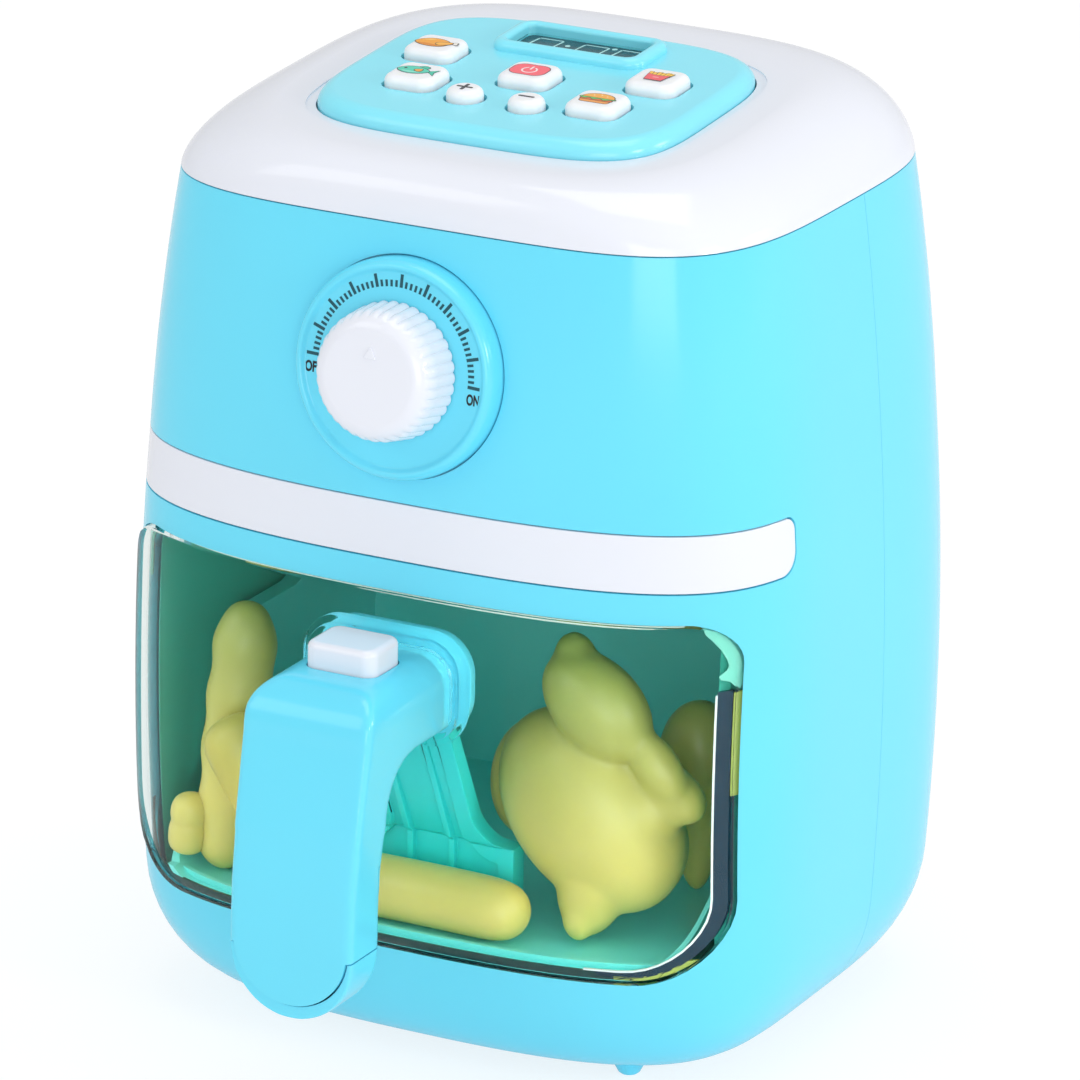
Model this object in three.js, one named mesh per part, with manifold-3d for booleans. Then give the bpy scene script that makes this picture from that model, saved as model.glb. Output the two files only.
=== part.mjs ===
// Toy air fryer: a moulded body on four feet, with a pull-out drawer of play food behind a clear
// window, a turning dial, and a sloping panel of push buttons under a small display.
// Millimetres, +Z up, front towards -Y. Heights count from the flat underside of the base plate.
import * as THREE from "three";
import { mergeVertices } from "three/addons/utils/BufferGeometryUtils.js";
import Module from "manifold-3d";

const wasm = await Module();
wasm.setup();

// Clearance between neighbouring pieces, overrun of cutting shapes, and the merging distance.
const gap = 0.3;
const overrun = 3;
const weld = 0.0002;

// Body: a squircle in plan that swells to a waist and turns in to a flat underside.
const body = {
  halfWidth: 78.45,
  halfDepth: 69.95,
  seamHeight: 184.2,
  waistHeight: 69.45,
  blendHeight: 125.7,
  upperTaper: 8.23,
  lowerTaper: 3.15,
  turnWidth: 18.65,
  turnHeight: 26.16,
  wall: 2.5,
  splitDepth: 8,
  sideCurveLowShare: 2.73,
  sideCurveHighShare: 4.62,
  frontCurveLowShare: 4.72,
  frontCurveHighShare: 3.74,
};
const bodyLevelShares = [0.3, 0.63, 0.82];
const quarterSteps = 9;
const turnSteps = 4;

// Cap: closes the body and rises to a top plane that slopes up to the back.
const cap = {
  rise: 16.2,
  wall: 2.2,
  sideDrop: 19.3,
  frontDrop: 18.9,
  backShift: 8,
  skirtDepth: 4,
  skirtWall: 1.6,
  sideCurveShare: 3.55,
  frontCurveShare: 3.11,
  sideRoundShare: 1.71,
  frontRoundShare: 2.84,
};
const panelSlope = (4 * Math.PI) / 180;
const capSteps = 5;

// Base plate with its feet, and the speaker behind its slots.
const base = {
  halfWidth: 46,
  halfDepth: 36,
  flange: 4,
  flangeThickness: 2,
  curveShare: 4,
};
const foot = { acrossX: 44, acrossY: 41, topRadius: 4.6, tipRadius: 2.4, height: 3.2 };
const speaker = {
  radius: 14,
  thickness: 5,
  back: 18,
  magnetRadius: 8,
  magnetThickness: 4,
  ringWall: 1.5,
  ringHeight: 3.4,
  slotLength: 18,
  slotWidth: 1.8,
  slotPitch: 4.2,
};
const speakerSlots = 5;

// Screws that hold the two body shells together, and their posts.
const shellScrew = {
  sideMargin: 21.45,
  belowDial: 21.7,
  aboveDial: 13.3,
  postRadius: 4,
  headRadius: 2.7,
  headThickness: 2,
  shankRadius: 1.3,
  reach: 9,
  seatWall: 3,
  bite: 12,
  ribThickness: 2,
};

// Trim band let into the front and both sides.
const trim = { drop: 5.5, height: 12.2, sideReach: 36.95, thickness: 1.1, lowRadius: 5, highRadius: 3 };

// Clear front of the drawer, and the ring on it round the neck of the handle.
const pane = {
  sideMargin: 6.45,
  low: 26.5,
  drop: 7,
  lowRadius: 18,
  highRadius: 9,
  proud: 1,
  thickness: 2.4,
  sideReach: 33.95,
  collarHalfWidth: 19.5,
  collarDrop: 5,
  collarHeight: 26.5,
  collarRadius: 9,
  collarProud: 2.6,
};
const corner = { across: 15, down: 16, thickness: 1.6, margin: 3 };

// Liner of the cooking chamber, with the rails that carry the drawer.
const liner = {
  sideMargin: 9.95,
  below: 4.1,
  above: 4,
  backMargin: 27.95,
  wall: 1.6,
  radius: 7,
  railDrop: 1.6,
  railWidth: 3.4,
  railSetback: 25.95,
  frontMargin: 1.1,
  legRadius: 3,
  legAcrossX: 44,
  legAcrossY: 30,
};

// Drawer tub that the food lies in.
const tub = {
  sideMargin: 6.1,
  rise: 0.2,
  floor: 1.5,
  wall: 1.8,
  drop: 30,
  rim: 2,
  rimReach: 3.1,
  backMargin: 4,
  lowRadius: 12,
  pegRadius: 2,
  pegInset: 5.2,
  frontHeight: 3.5,
  sweep: [
    [14, 0],
    [30, 10],
    [42, 26],
    [50, 46.3],
  ],
};

// Handle: a grip that hangs from a neck, closed behind by a cover.
const handle = {
  reach: 42.05,
  thickness: 13,
  below: 1.2,
  drop: 10.7,
  lowHalfWidth: 14.4,
  highHalfWidth: 15,
  shoulder: 7,
  brow: 10,
  armpit: 12,
  lean: 6,
  leanDrop: 29,
  backLean: 2.7,
  backLeanDrop: 22,
  neckHeight: 16.8,
  roomSetback: 12.2,
  neckRadius: 2,
  round: 2.4,
  wall: 2.6,
  coverSplit: 8.4,
  coverDrop: 21,
  chinRise: 14.7,
  chinRim: 2.2,
  chinSetback: 1.7,
  screwAcross: 5.8,
};
const release = {
  width: 16.4,
  depth: 13.5,
  setback: 26.5,
  proud: 5.5,
  radius: 2.4,
  flange: 1.6,
  flangeThickness: 2,
  stubRadius: 2.1,
  stubLength: 4,
  springRadius: 3.1,
  wireRadius: 0.4,
};
const springTurns = 4;
const turnSides = 8;
const wireSides = 5;

// Bracket behind the window: a flange, and a ribbed tongue that leans back to a sill on the floor.
const bracket = {
  flangeThickness: 2.4,
  flangeMargin: 1.3,
  thickness: 2.4,
  tongueHalfWidth: 12,
  footHalfWidth: 20,
  sillHeight: 17.8,
  fillet: 11,
  rimWidth: 3.8,
  rimProud: 1.4,
  ribAcross: 5,
  ribWidth: 1.6,
  kneeRise: 1,
  kneeSetback: 17,
  shoulderRise: 2,
  footSetback: 18.5,
};
const smallScrew = { headRadius: 2.4, headThickness: 1.6, shankRadius: 1, length: 8 };

// Dial: a bezel let into the front, a ribbed knob, and its click wheel behind the wall.
const dial = {
  drop: 29.5,
  bezelRadius: 23.5,
  pocket: 1.5,
  rimRadius: 21.4,
  rimProud: 5,
  rimFoot: 1.8,
  rimWidth: 1.4,
  faceProud: 4.1,
  boreRadius: 5,
  bossRadius: 9,
  bossReach: 5.2,
  knobRadius: 14.7,
  knobRound: 7.4,
  knobEdge: 5,
  knobProud: 15,
  knobWall: 2,
  ribDepth: 0.55,
  stemRadius: 3.4,
  stemReach: 9.4,
  pointerHigh: 6.8,
  pointerHeight: 2.6,
  pointerHalfWidth: 1.5,
  pointerProud: 0.4,
  wheelRadius: 8,
  wheelThickness: 2.6,
  toothDepth: 0.7,
  leafThickness: 0.6,
  leafHalfLength: 8,
  postSize: 3,
  screwHeadRadius: 4.6,
};
const knobRibs = 36;
// Levels of the knob's rounding: the share of its height, and of the ribs' depth that is left.
const knobLevelShares = [
  [0, 1],
  [0.6, 1],
  [0.9, 0.4],
  [1, 0],
];
const wheelTeeth = 24;

// Control panel on the sloping top. Its places are measured in its own plane.
const panel = {
  sideMargin: 35.45,
  halfDepth: 35.9,
  middle: -6.8,
  proud: 3.35,
  edge: 3,
  wall: 2.2,
  skirt: 6.4,
  flange: 2.6,
  flangeHeight: 3.6,
  curveShare: 4.2,
  postInset: 9,
  postBack: 17,
  postRadius: 3,
};
const edgeSteps = 2;
const display = {
  halfWidth: 18,
  halfDepth: 8.7,
  middle: 13.4,
  proud: 2.2,
  radius: 4.2,
  edge: 1.6,
  openHalfWidth: 14.6,
  openHalfDepth: 5.3,
  openRadius: 1.2,
  ledge: 1.2,
  sink: 1.6,
  lensThickness: 1.2,
  cardThickness: 0.6,
};
const key = {
  squareHalf: 5.9,
  squareRadius: 3.1,
  roundRadius: 4,
  proud: 2.5,
  round: 1.1,
  flange: 1.1,
  flangeThickness: 1.2,
  stemRadius: 2,
  stemReach: 3.9,
};
// Places of the buttons on the panel.
const sideKey = { inset: 16.5, along: -2.4 };
const cornerKey = { inset: 21.5, along: -20.3 };
const powerKey = { along: -9.8 };
const stepKey = { across: 7.3, along: -25.3 };
const keypad = {
  front: 32,
  back: 7,
  sideMargin: 10,
  thickness: 1.2,
  radius: 3.6,
  domeRadius: 3.6,
  domeTopRadius: 2.4,
  domeHeight: 1.7,
};
const board = { sideMargin: 5, front: 34, back: 24, thickness: 1.6, radius: 3, screwLength: 6.4 };

// Batteries in their box behind the liner, and the door over them.
const battery = { radius: 7.1, length: 48, chamfer: 0.6, nubRadius: 2.6, nubLength: 1.8, pitch: 15 };
const batteryCount = 3;
const batteryBox = {
  middleHeight: 58,
  setback: 21.45,
  wall: 1.5,
  contactThickness: 0.8,
  flange: 3,
  flangeThickness: 1.6,
  bossRadius: 3.2,
};
const door = { halfWidth: 34, low: 29, high: 91, radius: 5, thickness: 2, screwDrop: 5 };

// Lamp over the chamber, under its own small board on two legs.
const lamp = {
  radius: 2.4,
  flange: 3.2,
  length: 5,
  boardHalf: 8,
  boardThickness: 1.2,
  legRadius: 1.2,
  front: 6,
};

// Places that follow one another: down from the seam, in from the sides, and back from the front.
const capTop = body.seamHeight + cap.rise;
const dialHeight = body.seamHeight - dial.drop;
const screwHeights = [dialHeight - shellScrew.belowDial, dialHeight + shellScrew.aboveDial];
const trimHigh = dialHeight - dial.bezelRadius - trim.drop;
const trimLow = trimHigh - trim.height;
const paneHigh = trimLow - pane.drop;
const collarHigh = paneHigh - pane.collarDrop;
const collarLow = collarHigh - pane.collarHeight;
const linerHigh = paneHigh + liner.above;
const linerLow = pane.low - liner.below;
const tubHigh = paneHigh - tub.drop;
const tubLow = pane.low + tub.rise;
const handleHigh = paneHigh - handle.drop;
const handleLow = pane.low - handle.below;
const neckLow = handleHigh - handle.neckHeight;
const leanHeight = neckLow - handle.leanDrop;
const backLeanHeight = neckLow - handle.backLeanDrop;
const coverHeight = neckLow - handle.coverDrop;
const chinHeight = handleLow + handle.chinRise;
const releaseTop = handleHigh + release.proud;
const linerBack = body.halfDepth - liner.backMargin;
const tubBack = linerBack - tub.backMargin;
const railFront = body.halfDepth - liner.railSetback;
const paneEnd = body.halfDepth - pane.sideReach;
const trimEnd = body.halfDepth - trim.sideReach;
const handleFront = body.halfDepth + handle.reach;
const releaseMiddle = handleFront - release.setback;
const batteryFront = body.halfDepth - batteryBox.setback;
const screwAcross = body.halfWidth - shellScrew.sideMargin;
const paneHalfWidth = body.halfWidth - pane.sideMargin;
const linerHalfWidth = body.halfWidth - liner.sideMargin;
const tubHalfWidth = linerHalfWidth - tub.sideMargin;
const panelHalfWidth = body.halfWidth - panel.sideMargin;
const postAcross = panelHalfWidth - panel.postInset;
const keypadHalfWidth = panelHalfWidth - keypad.sideMargin;
const boardHalfWidth = panelHalfWidth - board.sideMargin;
const sideKeyAcross = panelHalfWidth - sideKey.inset;
const cornerKeyAcross = panelHalfWidth - cornerKey.inset;

// Each button: its name, its place across and along the panel, and whether it is square.
const keys = [
  ["button_chicken", -sideKeyAcross, sideKey.along, true],
  ["button_fries", sideKeyAcross, sideKey.along, true],
  ["button_power", 0, powerKey.along, true],
  ["button_fish", -cornerKeyAcross, cornerKey.along, true],
  ["button_burger", cornerKeyAcross, cornerKey.along, true],
  ["button_plus", -stepKey.across, stepKey.along, false],
  ["button_minus", stepKey.across, stepKey.along, false],
];

// Play food, placed by its distance from the drawer's side walls.
const chicken = { inset: 27.9, setback: 27.95, rise: 27.5, radius: 18 };
// Its lumps as shares of that radius: half sizes and place, then the turn about Y in radians.
const chickenLumpShares = [
  [[1, 0.83, 1.36], [0, 0, 0], -0.75],
  [[0.53, 0.5, 0.8], [0.19, -0.22, 1.43], -0.9],
  [[0.23, 0.23, 0.36], [-0.22, -0.11, 1.93], -0.15],
  [[0.31, 0.28, 0.53], [0.92, 0, 0.42], 1.85],
  [[0.25, 0.25, 0.45], [0.9, -0.22, 0.82], 2.3],
  [[0.42, 0.44, 0.67], [0.17, -0.28, -0.8], 0.15],
  [[0.22, 0.22, 0.31], [0.11, -0.5, -1.18], 0],
  [[0.5, 0.5, 0.75], [-1.02, 0.42, 0.08], 0.1],
  [[0.64, 0.72, 0.72], [0.5, 0.11, -0.43], 0],
];
const wavyStick = {
  lowInset: 15.4,
  highInset: 10.9,
  lowSetback: 18.45,
  highSetback: 29.95,
  headroom: 23.2,
  radius: 6,
  wave: 0.7,
};
const stickSwings = 1.5;
const stickBulges = 2.5;
const sausage = { across: 3, setback: 11.95, length: 49, radius: 6.8, bend: 1.6 };
const leaningStick = { lowInset: 34.4, highInset: 18.4, setback: 11.95, rise: 0.6, height: 34, radius: 6.3 };
const shortStick = { inset: 6, setback: 15.75, rise: 10.6, radius: 3.6, halfHeight: 7 };
const loaf = { inset: 18.4, setback: 59.95, radius: 8.6, halfHeight: 20 };
// Rings for each side of a lump, and how a stick's ends round off.
const lumpRingShare = 0.7;
const endPower = 8;
const endShare = 0.01;
const lookShare = 0.02;

// Colours and gloss of the mouldings.
const blue = { color: 0x6fe0fb, roughness: 0.22, metalness: 0 };
const white = { color: 0xf1f4fb, roughness: 0.2, metalness: 0 };
const teal = { color: 0x8fe3d6, roughness: 0.35, metalness: 0 };
const yellow = { color: 0xe1dc78, roughness: 0.45, metalness: 0 };
const clear = { color: 0xcdeee4, roughness: 0.05, metalness: 0, transparent: true, opacity: 0.3 };
const dark = { color: 0x0a4a55, roughness: 0.3, metalness: 0 };
const rubber = { color: 0xb9c2c6, roughness: 0.7, metalness: 0 };
const green = { color: 0x2f7d4f, roughness: 0.5, metalness: 0 };
const steel = { color: 0xb8bcc2, roughness: 0.35, metalness: 1 };
const black = { color: 0x22262b, roughness: 0.5, metalness: 0 };

// Closed geometry as a solid with its faces out.
function solid(geometry) {
  const bare = geometry.index ? geometry.toNonIndexed() : geometry.clone();
  bare.deleteAttribute("normal");
  bare.deleteAttribute("uv");
  const merged = mergeVertices(bare, weld);
  const corners = merged.index.array;
  const kept = [];
  for (let i = 0; i < corners.length; i += 3) {
    const [a, b, c] = corners.slice(i, i + 3);
    if (a !== b && b !== c && c !== a) kept.push(a, b, c);
  }
  const vertProperties = merged.attributes.position.array;
  const made = new wasm.Manifold(
    new wasm.Mesh({ numProp: 3, vertProperties, triVerts: new Uint32Array(kept) }),
  );
  if (made.volume() > 0) return made;
  const turned = new Uint32Array(kept);
  for (let i = 0; i < turned.length; i += 3) [turned[i], turned[i + 1]] = [turned[i + 1], turned[i]];
  return new wasm.Manifold(new wasm.Mesh({ numProp: 3, vertProperties, triVerts: turned }));
}

// A named mesh of a solid, with its own material.
function mesh(name, made, look) {
  const out = made.getMesh();
  const geometry = new THREE.BufferGeometry();
  geometry.setAttribute("position", new THREE.BufferAttribute(new Float32Array(out.vertProperties), 3));
  geometry.setIndex(new THREE.BufferAttribute(new Uint32Array(out.triVerts), 1));
  geometry.computeVertexNormals();
  const piece = new THREE.Mesh(geometry, new THREE.MeshStandardMaterial(look));
  piece.name = name;
  return piece;
}

function union(...parts) {
  return parts.reduce((whole, part) => whole.add(part));
}

// Extrusions along each axis. The outline is drawn as (x, z), (y, z) or (x, y).
const alongX = new THREE.Matrix4().makeBasis(
  new THREE.Vector3(0, 1, 0),
  new THREE.Vector3(0, 0, 1),
  new THREE.Vector3(1, 0, 0),
);
const arcSteps = 2;

function extrusion(outline, length, bevel = 0) {
  return new THREE.ExtrudeGeometry(outline, {
    depth: length - 2 * bevel,
    bevelEnabled: bevel > 0,
    bevelThickness: bevel,
    bevelSize: bevel,
    bevelOffset: -bevel,
    bevelSegments: 1,
    curveSegments: arcSteps,
  });
}

function prismX(outline, left, right, bevel = 0) {
  const geometry = extrusion(outline, right - left, bevel).translate(0, 0, left + bevel);
  return solid(geometry.applyMatrix4(alongX));
}

function prismY(outline, front, back) {
  return solid(extrusion(outline, back - front).rotateX(Math.PI / 2).translate(0, back, 0));
}

function prismZ(outline, low, high, bevel = 0) {
  return solid(extrusion(outline, high - low, bevel).translate(0, 0, low + bevel));
}

function box(left, right, front, back, low, high) {
  const geometry = new THREE.BoxGeometry(right - left, back - front, high - low);
  return solid(geometry.translate((left + right) / 2, (front + back) / 2, (low + high) / 2));
}

// Round bars along Z and along Y.
function barZ(radius, low, high, x = 0, y = 0, tipRadius = radius, sides = 14) {
  const geometry = new THREE.CylinderGeometry(tipRadius, radius, high - low, sides);
  return solid(geometry.rotateX(Math.PI / 2).translate(x, y, (low + high) / 2));
}

function barY(radius, front, back, x, z, sides = 12) {
  const geometry = new THREE.CylinderGeometry(radius, radius, back - front, sides);
  return solid(geometry.translate(x, (front + back) / 2, z));
}

// A solid turned about Z from a profile of [radius, height] points.
function turned(profile, sides) {
  const points = [...profile, profile[0]].map(([radius, height]) => new THREE.Vector2(radius, height));
  return solid(new THREE.LatheGeometry(points, sides).rotateX(Math.PI / 2));
}

// A rectangle with its lower and upper corners rounded.
function rounded(left, right, low, high, lowRadius, highRadius = lowRadius) {
  const outline = new THREE.Shape();
  outline.moveTo(left + lowRadius, low);
  outline.lineTo(right - lowRadius, low);
  outline.absarc(right - lowRadius, low + lowRadius, lowRadius, -Math.PI / 2, 0);
  outline.lineTo(right, high - highRadius);
  outline.absarc(right - highRadius, high - highRadius, highRadius, 0, Math.PI / 2);
  outline.lineTo(left + highRadius, high);
  outline.absarc(left + highRadius, high - highRadius, highRadius, Math.PI / 2, Math.PI);
  outline.lineTo(left, low + lowRadius);
  outline.absarc(left + lowRadius, low + lowRadius, lowRadius, Math.PI, 1.5 * Math.PI);
  return outline;
}

function disc(x, y, radius, sides = 14) {
  return polygon(
    Array.from({ length: sides }, (_, i) => {
      const angle = (i / sides) * 2 * Math.PI;
      return [x + radius * Math.cos(angle), y + radius * Math.sin(angle)];
    }),
  );
}

function polygon(points) {
  return new THREE.Shape(points.map(([x, y]) => new THREE.Vector2(x, y)));
}

// Squircle |x/a|^p + |y/b|^q = 1, its points spread evenly by an eased angle.
function squircle(halfX, halfY, sideCurve, frontCurve, middle = 0) {
  const points = [];
  for (let i = 0; i < 4 * quarterSteps; i++) {
    const step = (i % quarterSteps) / quarterSteps;
    const eased = step * step * (3 - 2 * step);
    const angle = ((Math.floor(i / quarterSteps) + eased) * Math.PI) / 2;
    const c = Math.cos(angle);
    const s = Math.sin(angle);
    const x = halfX * Math.sign(c) * Math.abs(c) ** (2 / sideCurve);
    const y = halfY * Math.sign(s) * Math.abs(s) ** (2 / frontCurve);
    points.push([x, middle + y]);
  }
  return points;
}

// A solid through a stack of rings with the same number of points, closed by flat fans.
function loft(rings) {
  const count = rings[0].length;
  const positions = rings.flat(2);
  const index = [];
  for (let level = 0; level < rings.length - 1; level++)
    for (let i = 0; i < count; i++) {
      const here = level * count;
      const next = (i + 1) % count;
      index.push(here + i, here + next, here + count + i);
      index.push(here + next, here + count + next, here + count + i);
    }
  for (const [ring, start, turn] of [
    [rings[0], 0, -1],
    [rings.at(-1), (rings.length - 1) * count, 1],
  ]) {
    const centre = positions.length / 3;
    for (const axis of [0, 1, 2]) positions.push(ring.reduce((sum, p) => sum + p[axis], 0) / count);
    for (let i = 0; i < count; i++) {
      const pair = [start + i, start + ((i + 1) % count)];
      if (turn < 0) pair.reverse();
      index.push(...pair, centre);
    }
  }
  const geometry = new THREE.BufferGeometry();
  geometry.setAttribute("position", new THREE.Float32BufferAttribute(positions, 3));
  geometry.setIndex(index);
  return geometry;
}

// One ring of the body at a height, sunk by a depth below its outer surface.
function bodyRing(height, depth) {
  const above = Math.max(height - body.waistHeight, 0) / (body.seamHeight - body.waistHeight);
  const below = Math.max(body.waistHeight - height, 0) / body.waistHeight;
  const rise = Math.min(Math.max((height - depth) / body.turnHeight, 0), 1);
  const turn = body.turnWidth * (1 - Math.sqrt(1 - (1 - rise) ** 2));
  const inset = body.upperTaper * above ** 2 + body.lowerTaper * below ** 2 + turn + depth;
  const blend = (height - body.blendHeight) / (body.seamHeight - body.blendHeight);
  const share = Math.min(Math.max(blend, 0), 1);
  const side = THREE.MathUtils.lerp(body.sideCurveLowShare, body.sideCurveHighShare, share);
  const front = THREE.MathUtils.lerp(body.frontCurveLowShare, body.frontCurveHighShare, share);
  const flat = squircle(body.halfWidth - inset, body.halfDepth - inset, side, front);
  return flat.map(([x, y]) => [x, y, height]);
}

// The body's form between two heights, sunk by a depth.
function bodyForm(depth, low, high) {
  const levels = [];
  for (let i = 0; i <= turnSteps; i++) {
    levels.push(depth + body.turnHeight * (1 - Math.cos((i * Math.PI) / 2 / turnSteps)));
  }
  for (const share of bodyLevelShares) {
    levels.push(THREE.MathUtils.lerp(body.turnHeight, body.seamHeight, share));
  }
  levels.push(body.seamHeight - cap.skirtDepth);
  const within = levels.filter((level) => level > low + gap && level < high - gap);
  return solid(loft([low, ...within, high].map((height) => bodyRing(height, depth))));
}

function bodySkin(outer, inner, low, high) {
  return bodyForm(outer, low, high).subtract(bodyForm(inner, low - overrun, high + overrun));
}

// How far the front lies from the middle at a height, and how far it turns in above the waist.
function bodyFront(height) {
  return body.halfDepth - bodyInset(height);
}

function bodyInset(height) {
  return body.upperTaper * ((height - body.waistHeight) / (body.seamHeight - body.waistHeight)) ** 2;
}

// The cap's form, sunk by a depth and reaching down past the seam by a drop.
function capForm(depth, drop) {
  const seam = bodyInset(body.seamHeight) + depth;
  const rings = [];
  for (let i = -1; i <= capSteps; i++) {
    const h = Math.sin((Math.max(i, 0) * Math.PI) / 2 / capSteps);
    const inX = seam + cap.sideDrop * (1 - (1 - h ** cap.sideRoundShare) ** (1 / cap.sideRoundShare));
    const fall = 1 - (1 - h ** cap.frontRoundShare) ** (1 / cap.frontRoundShare);
    const inY = seam + cap.frontDrop * fall;
    const side = THREE.MathUtils.lerp(body.sideCurveHighShare, cap.sideCurveShare, h);
    const front = THREE.MathUtils.lerp(body.frontCurveHighShare, cap.frontCurveShare, h);
    const middle = -cap.backShift * fall;
    const flat = squircle(body.halfWidth - inX, body.halfDepth - inY, side, front, middle);
    const below = i < 0 ? drop : 0;
    rings.push(
      flat.map(([x, y]) => {
        const top = capTop + Math.tan(panelSlope) * y - depth;
        return [x, y, THREE.MathUtils.lerp(body.seamHeight + gap, top, h) - below];
      }),
    );
  }
  return solid(loft(drop > 0 ? rings : rings.slice(1)));
}

// Frames of the sloping panel and of the dial: local Z leaves the surface.
const panelFrame = new THREE.Group();
panelFrame.position.set(0, 0, capTop);
panelFrame.rotation.x = panelSlope;
panelFrame.updateMatrixWorld();

const dialFrame = new THREE.Group();
const dialLean = Math.atan(
  (2 * bodyInset(dialHeight)) / (dialHeight - body.waistHeight),
);
dialFrame.position.set(0, -bodyFront(dialHeight), dialHeight);
dialFrame.rotation.x = Math.PI / 2 - dialLean;
dialFrame.updateMatrixWorld();

// A solid moved into the body's frame from a local one, or the other way.
function moved(made, matrix) {
  const piece = mesh("", made, {});
  return solid(piece.geometry.applyMatrix4(matrix));
}

const model = new THREE.Group();

// Casing
const windowOutline = (margin) =>
  rounded(
    -paneHalfWidth - margin,
    paneHalfWidth + margin,
    pane.low - margin,
    paneHigh + margin,
    pane.lowRadius + margin,
    pane.highRadius + margin,
  );
const farFront = -body.halfDepth - overrun;
const farSide = body.halfWidth + overrun;

function trimCut(margin) {
  const end = -trimEnd + margin;
  const low = trimLow - margin;
  const high = trimHigh + margin;
  const outline = new THREE.Shape();
  outline.moveTo(farFront, low);
  outline.lineTo(end - trim.lowRadius, low);
  outline.absarc(end - trim.lowRadius, low + trim.lowRadius, trim.lowRadius, -Math.PI / 2, 0);
  outline.lineTo(end, high - trim.highRadius);
  outline.absarc(end - trim.highRadius, high - trim.highRadius, trim.highRadius, 0, Math.PI / 2);
  outline.lineTo(farFront, high);
  return prismX(outline, -farSide, farSide);
}

const screwPlaces = [-screwAcross, screwAcross].flatMap((x) =>
  screwHeights.map((z) => [x, z]),
);
const screwSeat = body.splitDepth + gap / 2 + shellScrew.seatWall;

function screwPost(x, z, front, back) {
  const side = Math.sign(x);
  const wall = side * body.halfWidth;
  const rib = box(
    Math.min(x, wall),
    Math.max(x, wall),
    front,
    back,
    z - shellScrew.ribThickness / 2,
    z + shellScrew.ribThickness / 2,
  );
  return barY(shellScrew.postRadius, front, back, x, z, 8).add(rib);
}

function casing() {
  const outer = bodyForm(0, 0, body.seamHeight);
  const floorCut = polygon(
    squircle(base.halfWidth + gap, base.halfDepth + gap, base.curveShare, base.curveShare),
  );
  let shell = outer
    .subtract(bodyForm(body.wall, body.wall, body.seamHeight + overrun))
    .subtract(prismZ(floorCut, -overrun, body.wall + overrun));
  const inside = bodyForm(body.wall / 2, body.wall / 2, body.seamHeight);
  for (const [x, z] of screwPlaces) {
    const posts = screwPost(x, z, body.splitDepth - shellScrew.bite, body.halfDepth);
    shell = shell.add(posts.intersect(inside));
  }
  for (const x of [-foot.acrossX, foot.acrossX])
    for (const y of [-foot.acrossY, foot.acrossY]) {
      shell = shell.add(barZ(foot.tipRadius, -foot.height, body.wall / 2, x, y, foot.topRadius));
    }
  const lowest = -overrun - foot.height;
  const highest = body.seamHeight + overrun;
  const split = (front, back) => box(-farSide, farSide, front, back, lowest, highest);
  let front = shell.intersect(split(farFront, body.splitDepth - gap / 2));
  let rear = shell.intersect(split(body.splitDepth + gap / 2, -farFront));

  front = front.subtract(prismY(windowOutline(gap), farFront, -paneEnd));
  const groove = bodyForm(-overrun, trimLow - overrun, trimHigh + overrun);
  const grooveFloor = bodyForm(trim.thickness + gap, trimLow - overrun, trimHigh + overrun);
  front = front.subtract(groove.subtract(grooveFloor).intersect(trimCut(gap)));
  const webDepth = pane.thickness - pane.proud + gap;
  const webTop = paneHigh + corner.margin + overrun;
  const webSkin = bodySkin(webDepth, webDepth + corner.thickness, pane.low, webTop);
  for (const side of [-1, 1]) {
    const web = polygon([
      [side * (paneHalfWidth + corner.margin - corner.across), paneHigh + corner.margin],
      [side * (paneHalfWidth + corner.margin), paneHigh + corner.margin],
      [side * (paneHalfWidth + corner.margin), paneHigh + corner.margin - corner.down],
    ]);
    front = front.add(prismY(web, farFront, -paneEnd).intersect(webSkin));
  }
  const pocketRadius = dial.bezelRadius + gap;
  const pocket = barZ(pocketRadius, -dial.pocket, overrun, 0, 0, pocketRadius, 32);
  const hole = barZ(dial.bossRadius + gap, -dial.bossReach, overrun);
  front = front.subtract(moved(pocket.add(hole), dialFrame.matrixWorld));
  for (const side of [-1, 1]) {
    const y = side * (dial.leafHalfLength + gap + dial.postSize / 2);
    const x = dial.wheelRadius + dial.postSize / 2;
    const half = dial.postSize / 2;
    const post = box(x - half, x + half, y - half, y + half, -dial.stemReach, -body.wall + gap);
    front = front.add(moved(post, dialFrame.matrixWorld));
  }
  for (const [x, z] of screwPlaces) {
    const boreEnd = body.splitDepth - shellScrew.reach - gap;
    front = front.subtract(barY(shellScrew.shankRadius, boreEnd, body.splitDepth + overrun, x, z));
    rear = rear
      .subtract(barY(shellScrew.shankRadius + gap, body.splitDepth - overrun, screwSeat + overrun, x, z))
      .subtract(barY(shellScrew.headRadius + gap, screwSeat, body.halfDepth + overrun, x, z));
  }
  const doorCut = rounded(
    -door.halfWidth - gap,
    door.halfWidth + gap,
    door.low - gap,
    door.high + gap,
    door.radius + gap,
  );
  rear = rear.subtract(prismY(doorCut, batteryFront, body.halfDepth + overrun));
  model.add(mesh("front_shell", front, blue), mesh("rear_shell", rear, blue));
}

function shellScrews() {
  screwPlaces.forEach(([x, z], i) => {
    const seat = screwSeat + gap;
    const head = barY(shellScrew.headRadius, seat, seat + shellScrew.headThickness, x, z, 12);
    const tip = body.splitDepth - shellScrew.reach;
    const shank = barY(shellScrew.shankRadius - gap, tip, seat + gap, x, z, 10);
    model.add(mesh("shell_screw_" + (i + 1), head.add(shank), steel));
  });
}

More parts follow.
